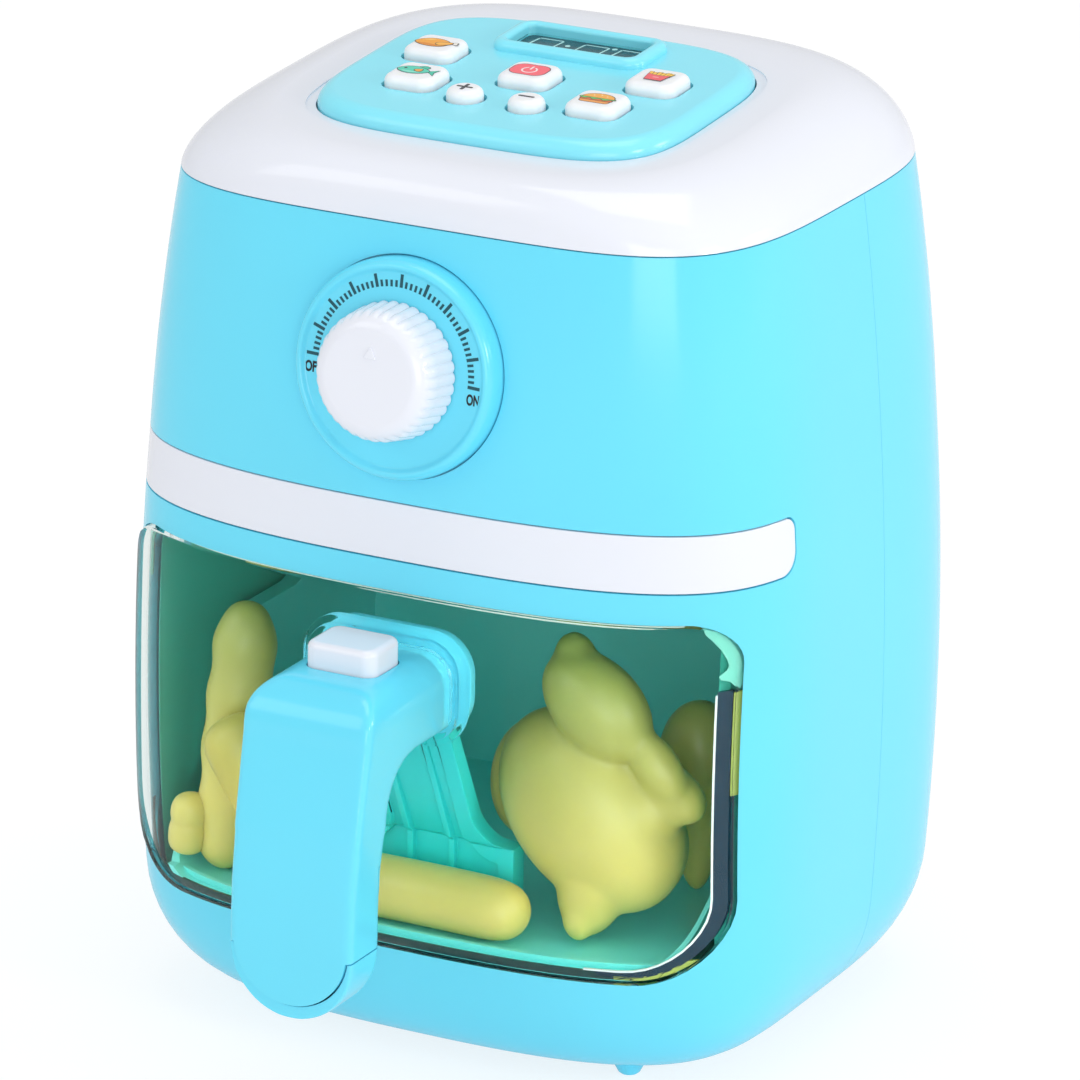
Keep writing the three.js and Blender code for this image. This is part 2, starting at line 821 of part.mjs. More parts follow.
function topCap() {
  const skirtLow = body.seamHeight - cap.skirtDepth;
  const skirt = bodySkin(
    body.wall + gap,
    body.wall + gap + cap.skirtWall,
    skirtLow,
    body.seamHeight + cap.wall + gap,
  );
  const opening = polygon(panelOutline(gap));
  const cut = moved(prismZ(opening, -panel.skirt - overrun, overrun), panelFrame.matrixWorld);
  const shell = capForm(0, 0).subtract(capForm(cap.wall, overrun));
  model.add(mesh("top_cap", shell.add(skirt).subtract(cut), white));
}

function trimBand() {
  const skin = bodySkin(0, trim.thickness, trimLow - overrun, trimHigh + overrun);
  model.add(mesh("trim_band", skin.intersect(trimCut(0)), white));
}

function basePlate() {
  const plate = (halfX, halfY, low, high) =>
    prismZ(polygon(squircle(halfX, halfY, base.curveShare, base.curveShare)), low, high);
  const seat = body.wall + gap;
  let made = plate(base.halfWidth, base.halfDepth, 0, seat + base.flangeThickness).add(
    plate(base.halfWidth + base.flange, base.halfDepth + base.flange, seat, seat + base.flangeThickness),
  );
  const floor = seat + base.flangeThickness;
  const boreRadius = speaker.radius + gap;
  const ringTop = floor + speaker.ringHeight;
  const ring = barZ(boreRadius + speaker.ringWall, floor - gap, ringTop, 0, speaker.back);
  const ringBore = barZ(boreRadius, floor, ringTop + overrun, 0, speaker.back);
  made = made.add(ring).subtract(ringBore);
  for (let i = 0; i < speakerSlots; i++) {
    const y = speaker.back + (i - (speakerSlots - 1) / 2) * speaker.slotPitch;
    const half = speaker.slotWidth / 2;
    const slot = rounded(-speaker.slotLength / 2, speaker.slotLength / 2, y - half, y + half, half);
    made = made.subtract(prismZ(slot, -overrun, floor + overrun));
  }
  model.add(mesh("base_plate", made, blue));
  const coneTop = floor + gap + speaker.thickness;
  const magnetTop = coneTop + speaker.magnetThickness;
  const magnet = barZ(speaker.magnetRadius, coneTop - gap, magnetTop, 0, speaker.back);
  const frame = barZ(speaker.radius, floor + gap, coneTop, 0, speaker.back);
  model.add(mesh("speaker", frame.add(magnet), black));
}

// Chamber
function chamberLiner() {
  const solidLiner = prismY(
    rounded(-linerHalfWidth, linerHalfWidth, linerLow, linerHigh, liner.radius),
    farFront,
    linerBack,
  );
  const w = liner.wall;
  const cavity = prismY(
    rounded(-linerHalfWidth + w, linerHalfWidth - w, linerLow + w, linerHigh - w, liner.radius - w),
    farFront - overrun,
    linerBack - w,
  );
  const depth = body.wall + liner.frontMargin;
  const inside = bodyForm(depth, depth, body.seamHeight);
  let made = solidLiner.intersect(inside).subtract(cavity);
  const railTop = tubHigh - tub.rim - gap;
  for (const side of [-1, 1]) {
    const wall = side * (linerHalfWidth - w / 2);
    const edge = side * (linerHalfWidth - w - liner.railWidth);
    const rail = box(
      Math.min(wall, edge),
      Math.max(wall, edge),
      -railFront,
      linerBack - w / 2,
      railTop - liner.railDrop,
      railTop,
    );
    made = made.add(rail);
    for (const y of [-liner.legAcrossY, liner.legAcrossY]) {
      const legLow = body.wall + gap + base.flangeThickness + gap;
      const x = side * liner.legAcrossX;
      made = made.add(barZ(liner.legRadius, legLow, linerLow + w / 2, x, y, liner.legRadius, 12));
    }
  }
  const lampRadius = lamp.radius + gap;
  const lampHole = barZ(lampRadius, linerHigh - w - overrun, linerHigh + overrun, 0, -lamp.front);
  model.add(mesh("chamber_liner", made.subtract(lampHole), teal));
}

function chamberLamp() {
  const seat = linerHigh + gap;
  const y = -lamp.front;
  const bulb = barZ(lamp.radius, linerHigh - liner.wall, seat + lamp.length, 0, y);
  const flange = barZ(lamp.flange, seat, seat + liner.wall, 0, y);
  model.add(mesh("chamber_lamp", bulb.add(flange), { ...clear, opacity: 0.6 }));
  const low = seat + lamp.length + gap;
  const half = lamp.boardHalf;
  const carrier = box(-half, half, y - half, y + half, low, low + lamp.boardThickness);
  const legs = [-1, 1].map((side) => {
    const x = side * (half - lamp.legRadius);
    return barZ(lamp.legRadius, seat, low + lamp.boardThickness / 2, x, y, lamp.legRadius, 8);
  });
  model.add(mesh("lamp_board", union(carrier, ...legs), green));
}

// Drawer
const tubFloorTop = tubLow + tub.floor;

function neckOutline(margin) {
  return rounded(
    -handle.highHalfWidth - margin,
    handle.highHalfWidth + margin,
    neckLow - margin,
    handleHigh + margin,
    handle.neckRadius + margin,
    handle.shoulder + margin,
  );
}

function drawerWindow() {
  const inner = pane.thickness - pane.proud;
  const skin = bodySkin(-pane.proud, inner, pane.low - overrun, paneHigh + overrun);
  let made = skin.intersect(prismY(windowOutline(0), farFront, -paneEnd));
  const collar = rounded(
    -pane.collarHalfWidth,
    pane.collarHalfWidth,
    collarLow,
    collarHigh,
    pane.collarRadius,
  );
  const back = -body.halfDepth + pane.thickness - pane.proud;
  made = made
    .add(prismY(collar, -body.halfDepth - pane.proud - pane.collarProud, back - gap))
    .subtract(prismY(neckOutline(gap), farFront - overrun, back + overrun));
  model.add(mesh("drawer_window", made, clear));
}

// What is cut from the tub's sides so that they sweep down to its front.
function tubSweep() {
  const low = tubLow + tub.frontHeight;
  const line = tub.sweep.map(([y, z]) => [-body.halfDepth + y, low + z]);
  const start = farFront - overrun;
  const back = line[line.length - 1][0];
  const high = tubHigh + overrun;
  const outline = polygon([[start, low], ...line, [back, high], [start, high]]);
  return prismX(outline, -farSide, farSide);
}

function drawerTub() {
  const rimHalf = tubHalfWidth + tub.rimReach;
  const outline = rounded(-tubHalfWidth, tubHalfWidth, tubLow, tubHigh, tub.lowRadius, gap);
  const cavity = rounded(
    -tubHalfWidth + tub.wall,
    tubHalfWidth - tub.wall,
    tubFloorTop,
    tubHigh + overrun,
    tub.lowRadius - tub.wall,
    gap,
  );
  const depth = pane.thickness - pane.proud + gap;
  const front = bodyForm(depth, tubLow - gap, tubHigh + gap);
  const rim = box(-rimHalf, rimHalf, -railFront, tubBack + gap, tubHigh - tub.rim, tubHigh);
  let made = prismY(outline, farFront, tubBack)
    .intersect(front)
    .add(rim)
    .subtract(prismY(cavity, farFront - overrun, tubBack - tub.wall))
    .subtract(tubSweep());
  for (const side of [-1, 1]) {
    const x = side * (bracket.footHalfWidth - tub.pegInset);
    const hole = barZ(tub.pegRadius + gap, tubLow - overrun, tubFloorTop + overrun, x, bracketFoot());
    made = made.subtract(hole);
  }
  model.add(mesh("drawer_tub", made, teal));
}

// Top and front face of the bracket's flange, and the middle of its foot along Y.
const flangeHigh = collarHigh - bracket.flangeMargin;
const bracketFront =
  -bodyFront(flangeHigh) + pane.thickness - pane.proud + 3 * gap;
function bracketFoot() {
  return bracketFront + bracket.footSetback + bracket.thickness / 2;
}

function handleBracket() {
  const m = bracket.flangeMargin;
  const flange = rounded(
    -pane.collarHalfWidth + m,
    pane.collarHalfWidth - m,
    collarLow + m,
    flangeHigh,
    pane.collarRadius,
  );
  const seat = tubFloorTop + gap;
  const sill = tubFloorTop + bracket.sillHeight;
  const slab = (proud, back) => {
    const front = [
      [bracketFront, flangeHigh],
      [bracketFront, neckLow + bracket.shoulderRise],
      [bracketFront + bracket.kneeSetback, sill + bracket.kneeRise],
      [bracketFront + bracket.footSetback, sill],
      [bracketFront + bracket.footSetback, seat],
    ];
    const near = front.map(([y, z]) => [Math.max(y - proud, bracketFront), z]);
    const far = front.map(([y, z]) => [y + back, z]).reverse();
    return prismX(polygon([...near, ...far]), -bracket.footHalfWidth, bracket.footHalfWidth);
  };
  const tongue = (inset) => {
    const outline = new THREE.Shape();
    const half = bracket.tongueHalfWidth - inset;
    const reach = bracket.footHalfWidth - inset;
    const f = bracket.fillet + inset;
    const ledge = sill - inset;
    outline.moveTo(-reach, seat + inset);
    outline.lineTo(reach, seat + inset);
    outline.lineTo(reach, ledge);
    outline.lineTo(half + f, ledge);
    outline.absarc(half + f, ledge + f, f, -Math.PI / 2, -Math.PI, true);
    outline.lineTo(half, flangeHigh);
    outline.lineTo(-half, flangeHigh);
    outline.lineTo(-half, ledge + f);
    outline.absarc(-half - f, ledge + f, f, 0, -Math.PI / 2, true);
    outline.lineTo(-reach, ledge);
    return prismY(outline, farFront, 0);
  };
  const back = bracketFront + bracket.flangeThickness;
  const rim = slab(bracket.rimProud, bracket.thickness + bracket.rimProud).intersect(
    tongue(0).subtract(tongue(bracket.rimWidth)),
  );
  let made = union(prismY(flange, bracketFront, back), slab(0, bracket.thickness).intersect(tongue(0)), rim);
  for (const side of [-1, 1]) {
    const x = side * bracket.ribAcross;
    const half = bracket.ribWidth / 2;
    const strip = box(x - half, x + half, farFront, 0, seat, flangeHigh);
    made = made.add(slab(bracket.rimProud, bracket.thickness).intersect(strip));
    const pegX = side * (bracket.footHalfWidth - tub.pegInset);
    made = made.add(barZ(tub.pegRadius, tubLow, seat + gap, pegX, bracketFoot()));
    const z = (neckLow + handleHigh) / 2;
    made = made.subtract(
      barY(smallScrew.shankRadius + gap, farFront, 0, side * handle.screwAcross, z, 12),
    );
  }
  model.add(mesh("handle_bracket", made, teal));
  for (const side of [-1, 1]) {
    const x = side * handle.screwAcross;
    const z = (neckLow + handleHigh) / 2;
    const seatY = back + gap;
    const head = barY(smallScrew.headRadius, seatY, seatY + smallScrew.headThickness, x, z, 12);
    const shank = barY(smallScrew.shankRadius, seatY - smallScrew.length, seatY + gap, x, z, 8);
    model.add(mesh(side < 0 ? "handle_screw_left" : "handle_screw_right", head.add(shank), steel));
  }
}

// Front view of the grip: a round chin, sides that open upwards, and rounded shoulders.
function gripOutline(inset) {
  const radius = handle.lowHalfWidth - inset;
  const middle = handleLow + handle.lowHalfWidth;
  const top = handleHigh - inset;
  const half = handle.highHalfWidth - inset;
  const outline = new THREE.Shape();
  outline.absarc(0, middle, radius, Math.PI, 1.5 * Math.PI);
  outline.absarc(0, middle, radius, 1.5 * Math.PI, 2 * Math.PI);
  outline.lineTo(half, top - handle.shoulder);
  outline.absarc(half - handle.shoulder, top - handle.shoulder, handle.shoulder, 0, Math.PI / 2);
  outline.lineTo(-half + handle.shoulder, top);
  outline.absarc(-half + handle.shoulder, top - handle.shoulder, handle.shoulder, Math.PI / 2, Math.PI);
  return outline;
}

// Side view of the handle: the grip hangs from the neck.
function handleForm() {
  const neckBack = -body.halfDepth + pane.thickness - pane.proud;
  const gripBack = -handleFront + handle.thickness;
  const outline = new THREE.Shape();
  outline.moveTo(-handleFront, handleLow);
  outline.lineTo(gripBack, handleLow);
  outline.lineTo(gripBack, backLeanHeight);
  outline.lineTo(gripBack + handle.backLean, neckLow - handle.armpit);
  const armpitY = gripBack + handle.backLean + handle.armpit;
  outline.absarc(armpitY, neckLow - handle.armpit, handle.armpit, Math.PI, Math.PI / 2, true);
  outline.lineTo(neckBack, neckLow);
  outline.lineTo(neckBack, handleHigh);
  const browY = -handleFront + handle.lean + handle.brow;
  const browZ = handleHigh - handle.brow;
  outline.lineTo(browY, handleHigh);
  outline.absarc(browY, browZ, handle.brow, Math.PI / 2, Math.PI);
  outline.lineTo(-handleFront, leanHeight);
  const half = handle.highHalfWidth;
  const side = prismX(outline, -half, half, handle.round);
  return side.intersect(prismY(gripOutline(0), -handleFront - overrun, overrun));
}

function handleShells() {
  const form = handleForm();
  const split = -handleFront + handle.coverSplit;
  const half = handle.highHalfWidth + overrun;
  const low = handleLow - overrun;
  const front = -handleFront - overrun;
  const chinCut = (margin, start) =>
    box(-half, half, start, 0, low, chinHeight + margin).subtract(
      prismY(gripOutline(handle.chinRim + margin), front - overrun, split),
    );
  const backZone = (margin) => box(-half, half, split - margin, 0, low, coverHeight + margin);
  const rearForm = form.intersect(
    backZone(0).add(chinCut(0, -handleFront + handle.chinSetback)),
  );
  let cover = form.subtract(backZone(gap)).subtract(chinCut(gap, front));
  const w = handle.wall;
  const inner = handle.highHalfWidth - w - handle.round;
  const ceiling = handleHigh - w;
  const gripFront = -handleFront + w;
  const neckWall = bracketFront - smallScrew.length + bracket.flangeThickness - gap;
  const roomHigh = neckLow + w;
  const leanShare = (roomHigh - leanHeight) / (handleHigh - handle.brow - leanHeight);
  const room = polygon([
    [gripFront, chinHeight + w],
    [split, chinHeight + w],
    [split, roomHigh],
    [gripFront + handle.lean * leanShare, roomHigh],
    [gripFront, leanHeight],
  ]);
  const gripRoom = prismX(room, -inner, inner);
  const neckFront = -handleFront + handle.roomSetback;
  const neckRoom = box(-inner, inner, neckFront, neckWall, roomHigh, ceiling);
  const slot = rounded(
    -release.width / 2 - gap,
    release.width / 2 + gap,
    -releaseMiddle - release.depth / 2 - gap,
    -releaseMiddle + release.depth / 2 + gap,
    release.radius + gap,
  );
  cover = cover.subtract(gripRoom).subtract(neckRoom);
  cover = cover.subtract(prismZ(slot, ceiling - gap, handleHigh + overrun));
  for (const side of [-1, 1]) {
    const z = (neckLow + handleHigh) / 2;
    const x = side * handle.screwAcross;
    cover = cover.subtract(barY(smallScrew.shankRadius + gap, neckWall - overrun, overrun, x, z));
  }
  model.add(mesh("handle_front_cover", cover, blue), mesh("handle_rear_shell", rearForm, blue));
}

function releaseButton() {
  const ceiling = handleHigh - handle.wall;
  const block = rounded(
    -release.width / 2,
    release.width / 2,
    -releaseMiddle - release.depth / 2,
    -releaseMiddle + release.depth / 2,
    release.radius,
  );
  const flange = rounded(
    -release.width / 2 - release.flange,
    release.width / 2 + release.flange,
    -releaseMiddle - release.depth / 2 - release.flange,
    -releaseMiddle + release.depth / 2 + release.flange,
    release.radius,
  );
  const flangeTop = ceiling - gap;
  const flangeLow = flangeTop - release.flangeThickness;
  const stub = barZ(
    release.stubRadius,
    flangeLow - release.stubLength,
    flangeLow + gap,
    0,
    -releaseMiddle,
    release.stubRadius,
    12,
  );
  const made = union(
    prismZ(block, flangeLow, releaseTop, gap),
    prismZ(flange, flangeLow, flangeTop),
    stub,
  );
  model.add(mesh("release_button", made, white));
  const low = neckLow + handle.wall + gap + release.wireRadius;
  const high = flangeLow - gap - release.wireRadius;
  model.add(mesh("release_spring", helix(release, springTurns, low, high, -releaseMiddle), steel));
}

// A round-wire compression spring about a vertical axis.
function helix({ springRadius, wireRadius }, turns, low, high, y) {
  const steps = turns * turnSides;
  const rings = [];
  for (let i = 0; i <= steps; i++) {
    const angle = (i / turnSides) * 2 * Math.PI;
    const z = THREE.MathUtils.lerp(low, high, i / steps);
    const ring = [];
    for (let j = 0; j < wireSides; j++) {
      const around = (j / wireSides) * 2 * Math.PI;
      const radius = springRadius + wireRadius * Math.cos(around);
      const rise = wireRadius * Math.sin(around);
      ring.push([radius * Math.cos(angle), y + radius * Math.sin(angle), z + rise]);
    }
    rings.push(ring);
  }
  return solid(loft(rings));
}

// Dial, in its own frame: local Z leaves the front, local Y points up it.
function dialPieces() {
  const back = -dial.pocket + gap;
  const bezel = turned(
    [
      [dial.boreRadius, -dial.bossReach],
      [dial.bossRadius, -dial.bossReach],
      [dial.bossRadius, back],
      [dial.bezelRadius, back],
      [dial.bezelRadius, dial.rimFoot],
      [(dial.bezelRadius + dial.rimRadius) / 2, dial.rimProud - gap],
      [dial.rimRadius, dial.rimProud],
      [dial.rimRadius - dial.rimWidth / 2, dial.rimProud],
      [dial.rimRadius - dial.rimWidth, dial.faceProud],
      [dial.boreRadius, dial.faceProud],
    ],
    32,
  );
  dialFrame.add(mesh("dial_bezel", bezel, blue));

  const low = dial.faceProud + gap;
  const high = dial.knobProud;
  const grip = [];
  const roundLow = high - dial.knobRound;
  const levels = knobLevelShares.map(([rise, ribbed]) => {
    const edge = dial.knobEdge * (1 - Math.sqrt(1 - rise * rise));
    return [roundLow + rise * dial.knobRound, dial.knobRadius - edge, ribbed];
  });
  levels.unshift([low, dial.knobRadius, 1]);
  for (const [z, radius, ribbed] of levels) {
    const ring = [];
    for (let i = 0; i < knobRibs * 2; i++) {
      const angle = (i / knobRibs) * Math.PI;
      const r = radius - (i % 2) * ribbed * dial.ribDepth;
      ring.push([r * Math.cos(angle), r * Math.sin(angle), z]);
    }
    grip.push(ring);
  }
  const hollow = turned(
    [
      [dial.stemRadius + dial.knobWall, low - overrun],
      [dial.knobRadius - dial.knobWall - dial.ribDepth, low - overrun],
      [dial.knobRadius - dial.knobWall - dial.ribDepth, roundLow],
      [dial.knobRadius - dial.knobEdge, high - 2 * dial.knobWall],
      [dial.stemRadius + dial.knobWall, high - 2 * dial.knobWall],
    ],
    18,
  );
  const tip = dial.pointerHigh;
  const pointer = polygon([
    [-dial.pointerHalfWidth, tip - dial.pointerHeight],
    [dial.pointerHalfWidth, tip - dial.pointerHeight],
    [0, tip],
  ]);
  const knob = solid(loft(grip))
    .subtract(hollow)
    .add(prismZ(pointer, high - gap, high + dial.pointerProud))
    .add(barZ(dial.stemRadius, -dial.stemReach, high - dial.knobWall))
    .subtract(barZ(smallScrew.shankRadius + gap, -dial.stemReach - overrun, gap));
  dialFrame.add(mesh("dial_knob", knob, white));

  const wheelTop = -dial.bossReach - gap;
  const wheelLow = wheelTop - dial.wheelThickness;
  const teeth = [];
  for (let i = 0; i < wheelTeeth * 2; i++) {
    const angle = (i / wheelTeeth) * Math.PI;
    const r = dial.wheelRadius - (i % 2) * dial.toothDepth;
    teeth.push([r * Math.cos(angle), r * Math.sin(angle)]);
  }
  const wheel = prismZ(polygon(teeth), wheelLow, wheelTop).subtract(
    barZ(dial.stemRadius + gap, wheelLow - overrun, wheelTop + overrun),
  );
  dialFrame.add(mesh("dial_click_wheel", wheel, white));
  const seat = -dial.stemReach - gap;
  const screw = barZ(dial.screwHeadRadius, seat - smallScrew.headThickness, seat).add(
    barZ(smallScrew.shankRadius, seat - gap, seat + smallScrew.length),
  );
  dialFrame.add(mesh("dial_screw", screw, steel));
  const leafX = dial.wheelRadius + gap;
  const leaf = box(
    leafX,
    leafX + dial.leafThickness,
    -dial.leafHalfLength,
    dial.leafHalfLength,
    wheelLow,
    wheelTop,
  );
  dialFrame.add(mesh("dial_click_spring", leaf, steel));
  model.add(dialFrame);
}

// Panel pieces, in the frame of the sloping top.
function panelOutline(margin) {
  return squircle(
    panelHalfWidth + margin,
    panel.halfDepth + margin,
    panel.curveShare,
    panel.curveShare,
    panel.middle,
  );
}

function keyOutline(x, y, square, margin) {
  if (square) {
    const half = key.squareHalf + margin;
    return rounded(x - half, x + half, y - half, y + half, key.squareRadius + margin);
  }
  return disc(x, y, key.roundRadius + margin);
}

// An outline raised between two heights, its upper edge rounded.
function edged(points, low, high, edge) {
  const at = (margin, z) => points(margin).map(([x, y]) => [x, y, z]);
  const rings = [at(0, low)];
  for (let i = 0; i <= edgeSteps; i++) {
    const angle = (i * Math.PI) / 2 / edgeSteps;
    rings.push(at(-edge * (1 - Math.cos(angle)), high - edge * (1 - Math.sin(angle))));
  }
  return solid(loft(rings));
}

function controlPanel() {
  const toLocal = panelFrame.matrixWorld.clone().invert();
  const inCap = moved(capForm(cap.wall + gap, overrun), toLocal);
  const skirtLow = -panel.skirt;
  const flange = prismZ(polygon(panelOutline(panel.flange)), skirtLow, skirtLow + panel.flangeHeight);
  const room = prismZ(polygon(panelOutline(-panel.wall)), skirtLow - overrun, 0);
  let made = edged(panelOutline, skirtLow, panel.proud, panel.edge)
    .add(flange.intersect(inCap))
    .subtract(room);
  const top = panel.proud + display.proud;
  const d = display;
  const frame = rounded(
    -d.halfWidth,
    d.halfWidth,
    d.middle - d.halfDepth,
    d.middle + d.halfDepth,
    d.radius,
  );
  const opening = (margin) =>
    rounded(
      -d.openHalfWidth - margin,
      d.openHalfWidth + margin,
      d.middle - d.openHalfDepth - margin,
      d.middle + d.openHalfDepth + margin,
      d.openRadius,
    );
  const lensTop = top - d.sink;
  const lensLow = lensTop - d.lensThickness;
  made = made
    .add(prismZ(frame, gap, top, d.edge))
    .subtract(prismZ(opening(0), lensLow - gap, top + overrun))
    .subtract(prismZ(opening(-d.ledge), -overrun, top));
  for (const side of [-1, 1]) {
    const x = side * postAcross;
    const boreRadius = smallScrew.shankRadius + gap;
    const post = barZ(panel.postRadius, -panel.skirt, gap, x, panel.postBack);
    const bore = barZ(boreRadius, -panel.skirt - overrun, -2 * gap, x, panel.postBack);
    made = made.add(post).subtract(bore);
  }
  for (const [, x, y, square] of keys) {
    made = made.subtract(prismZ(keyOutline(x, y, square, gap), -overrun, panel.proud + overrun));
  }
  panelFrame.add(mesh("control_panel", made, blue));
  const lens = prismZ(opening(-gap), lensLow, lensTop);
  panelFrame.add(mesh("display_lens", lens, { ...dark, opacity: 0.8, transparent: true }));
  const cardTop = lensLow - 2 * gap;
  const card = prismZ(opening(-d.ledge - gap), cardTop - d.cardThickness, cardTop);
  panelFrame.add(mesh("display_card", card, dark));
}

function keyPieces() {
  for (const [name, x, y, square] of keys) {
    const low = -key.flangeThickness;
    const head = prismZ(keyOutline(x, y, square, 0), low, panel.proud + key.proud, key.round);
    const flange = prismZ(keyOutline(x, y, square, key.flange), low - gap, -gap);
    const stem = barZ(key.stemRadius, -key.stemReach, -2 * gap, x, y);
    panelFrame.add(mesh(name, union(head, flange, stem), white));
  }
  const domeTop = -key.stemReach - gap;
  const sheetTop = domeTop - keypad.domeHeight;
  const sheet = rounded(
    -keypadHalfWidth,
    keypadHalfWidth,
    -keypad.front,
    keypad.back,
    keypad.radius,
  );
  let pad = prismZ(sheet, sheetTop - keypad.thickness, sheetTop);
  for (const [, x, y] of keys) {
    pad = pad.add(barZ(keypad.domeRadius, sheetTop - gap, domeTop, x, y, keypad.domeTopRadius, 10));
  }
  panelFrame.add(mesh("keypad", pad, rubber));

  const boardTop = sheetTop - keypad.thickness - gap;
  const boardLow = boardTop - board.thickness;
  const plate = rounded(-boardHalfWidth, boardHalfWidth, -board.front, board.back, board.radius);
  let made = prismZ(plate, boardLow, boardTop);
  for (const side of [-1, 1]) {
    const x = side * postAcross;
    const y = panel.postBack;
    const boreRadius = smallScrew.shankRadius + gap;
    made = made.subtract(barZ(boreRadius, boardLow - overrun, boardTop + overrun, x, y));
    const seat = boardLow - gap;
    const head = barZ(smallScrew.headRadius, seat - smallScrew.headThickness, seat, x, y);
    const shank = barZ(smallScrew.shankRadius, seat - gap, seat + board.screwLength, x, y);
    panelFrame.add(mesh(side < 0 ? "board_screw_left" : "board_screw_right", head.add(shank), steel));
  }
  panelFrame.add(mesh("circuit_board", made, green));
  model.add(panelFrame);
}

// Batteries
const batteryMiddle = batteryFront + batteryBox.wall + gap + battery.radius;
const batteryHeights = Array.from({ length: batteryCount }, (_, i) => {
  return batteryBox.middleHeight + (i - (batteryCount - 1) / 2) * battery.pitch;
});

function batteryPieces() {
  const roomHalf = battery.length / 2 + battery.nubLength + batteryBox.contactThickness + 3 * gap;
  const roomLow = batteryHeights[0] - battery.radius - gap;
  const roomHigh = batteryHeights.at(-1) + battery.radius + gap;
  const w = batteryBox.wall;
  const skinDepth = body.wall + gap;
  const insideBody = bodyForm(skinDepth, skinDepth, body.seamHeight);
  const f = batteryBox.flange;
  const innerDepth = skinDepth + batteryBox.flangeThickness;
  const skin = insideBody.subtract(bodyForm(innerDepth, innerDepth, body.seamHeight));
  const flange = prismY(
    rounded(-door.halfWidth - f, door.halfWidth + f, door.low - f, door.high + f, door.radius + f),
    batteryFront,
    body.halfDepth,
  ).intersect(skin);
  const flangeHole = prismY(
    rounded(-roomHalf - w, roomHalf + w, roomLow - w, roomHigh + w, w),
    batteryFront,
    body.halfDepth,
  );
  const tray = box(
    -roomHalf - w,
    roomHalf + w,
    batteryFront,
    body.halfDepth,
    roomLow - w,
    roomHigh + w,
  ).intersect(insideBody);
  const screwZ = door.high - door.screwDrop;
  const boss = barY(batteryBox.bossRadius, batteryFront, body.halfDepth, 0, screwZ);
  const roomFront = batteryFront + w;
  const behind = body.halfDepth + overrun;
  const room = box(-roomHalf, roomHalf, roomFront, behind, roomLow, roomHigh);
  const screwBore = barY(smallScrew.shankRadius + gap, roomFront, behind, 0, screwZ);
  const made = union(flange.subtract(flangeHole), tray, boss.intersect(insideBody))
    .subtract(room)
    .subtract(screwBore);
  model.add(mesh("battery_box", made, blue));

  batteryHeights.forEach((z, i) => {
    const turn = i % 2 ? -1 : 1;
    const end = battery.length / 2;
    const profile = [
      [0, -end],
      [battery.radius - battery.chamfer, -end],
      [battery.radius, -end + battery.chamfer],
      [battery.radius, end - battery.chamfer],
      [battery.radius - battery.chamfer, end],
      [battery.nubRadius, end],
      [battery.nubRadius, end + battery.nubLength],
      [0, end + battery.nubLength],
    ];
    const cell = mesh("battery_" + (i + 1), turned(profile, 12), black);
    cell.rotation.y = (turn * Math.PI) / 2;
    cell.position.set(0, batteryMiddle, z);
    model.add(cell);
  });
  for (const side of [-1, 1]) {
    const far = side * (roomHalf - gap);
    const near = far - side * batteryBox.contactThickness;
    const plate = box(
      Math.min(near, far),
      Math.max(near, far),
      batteryFront + w + gap,
      batteryMiddle + battery.radius,
      roomLow + gap,
      roomHigh - gap,
    );
    model.add(mesh(side < 0 ? "battery_contact_left" : "battery_contact_right", plate, steel));
  }

  const doorOutline = rounded(-door.halfWidth, door.halfWidth, door.low, door.high, door.radius);
  const doorSkin = bodySkin(0, door.thickness, door.low - overrun, door.high + overrun);
  const sinkY = body.halfDepth - door.thickness / 2;
  const doorMade = prismY(doorOutline, batteryFront, behind)
    .intersect(doorSkin)
    .subtract(screwBore)
    .subtract(barY(smallScrew.headRadius + gap, sinkY, behind, 0, screwZ));
  model.add(mesh("battery_door", doorMade, blue));
  const seat = sinkY + gap;
  const head = barY(smallScrew.headRadius, seat, seat + smallScrew.headThickness / 2, 0, screwZ);
  const shank = barY(smallScrew.shankRadius, seat - smallScrew.length, seat + gap, 0, screwZ, 8);
  model.add(mesh("battery_screw", head.add(shank), steel));
}

// Play food
function lump(radii, place, turn = 0, sides = 8) {
  const geometry = new THREE.SphereGeometry(1, sides, Math.round(sides * lumpRingShare));
  geometry.rotateX(Math.PI / 2).scale(...radii).rotateY(turn);
  return solid(geometry.translate(...place));
}

// A round stick through a few middles, its radius swelling in waves, with round ends.
function stick(middleAt, radiusAt, rings = 9, sides = 8) {
  const made = [];
  for (let i = 0; i <= rings; i++) {
    const t = i / rings;
    const middle = middleAt(t);
    const ahead = middleAt(Math.min(t + lookShare, 1));
    const behind = middleAt(Math.max(t - lookShare, 0));
    const along = new THREE.Vector3(...ahead).sub(new THREE.Vector3(...behind)).normalize();
    const u = new THREE.Vector3(0, 1, 0).cross(along).normalize();
    const v = along.clone().cross(u);
    const round = Math.sqrt(Math.max(1 - Math.abs(2 * t - 1) ** endPower, endShare));
    const ring = [];
    for (let j = 0; j < sides; j++) {
      const angle = (j / sides) * 2 * Math.PI;
      const r = radiusAt(t) * round;
      ring.push([0, 1, 2].map((k) => {
        const across = u.getComponent(k) * Math.cos(angle) + v.getComponent(k) * Math.sin(angle);
        return middle[k] + r * across;
      }));
    }
    made.push(ring);
  }
  return solid(loft(made));
}

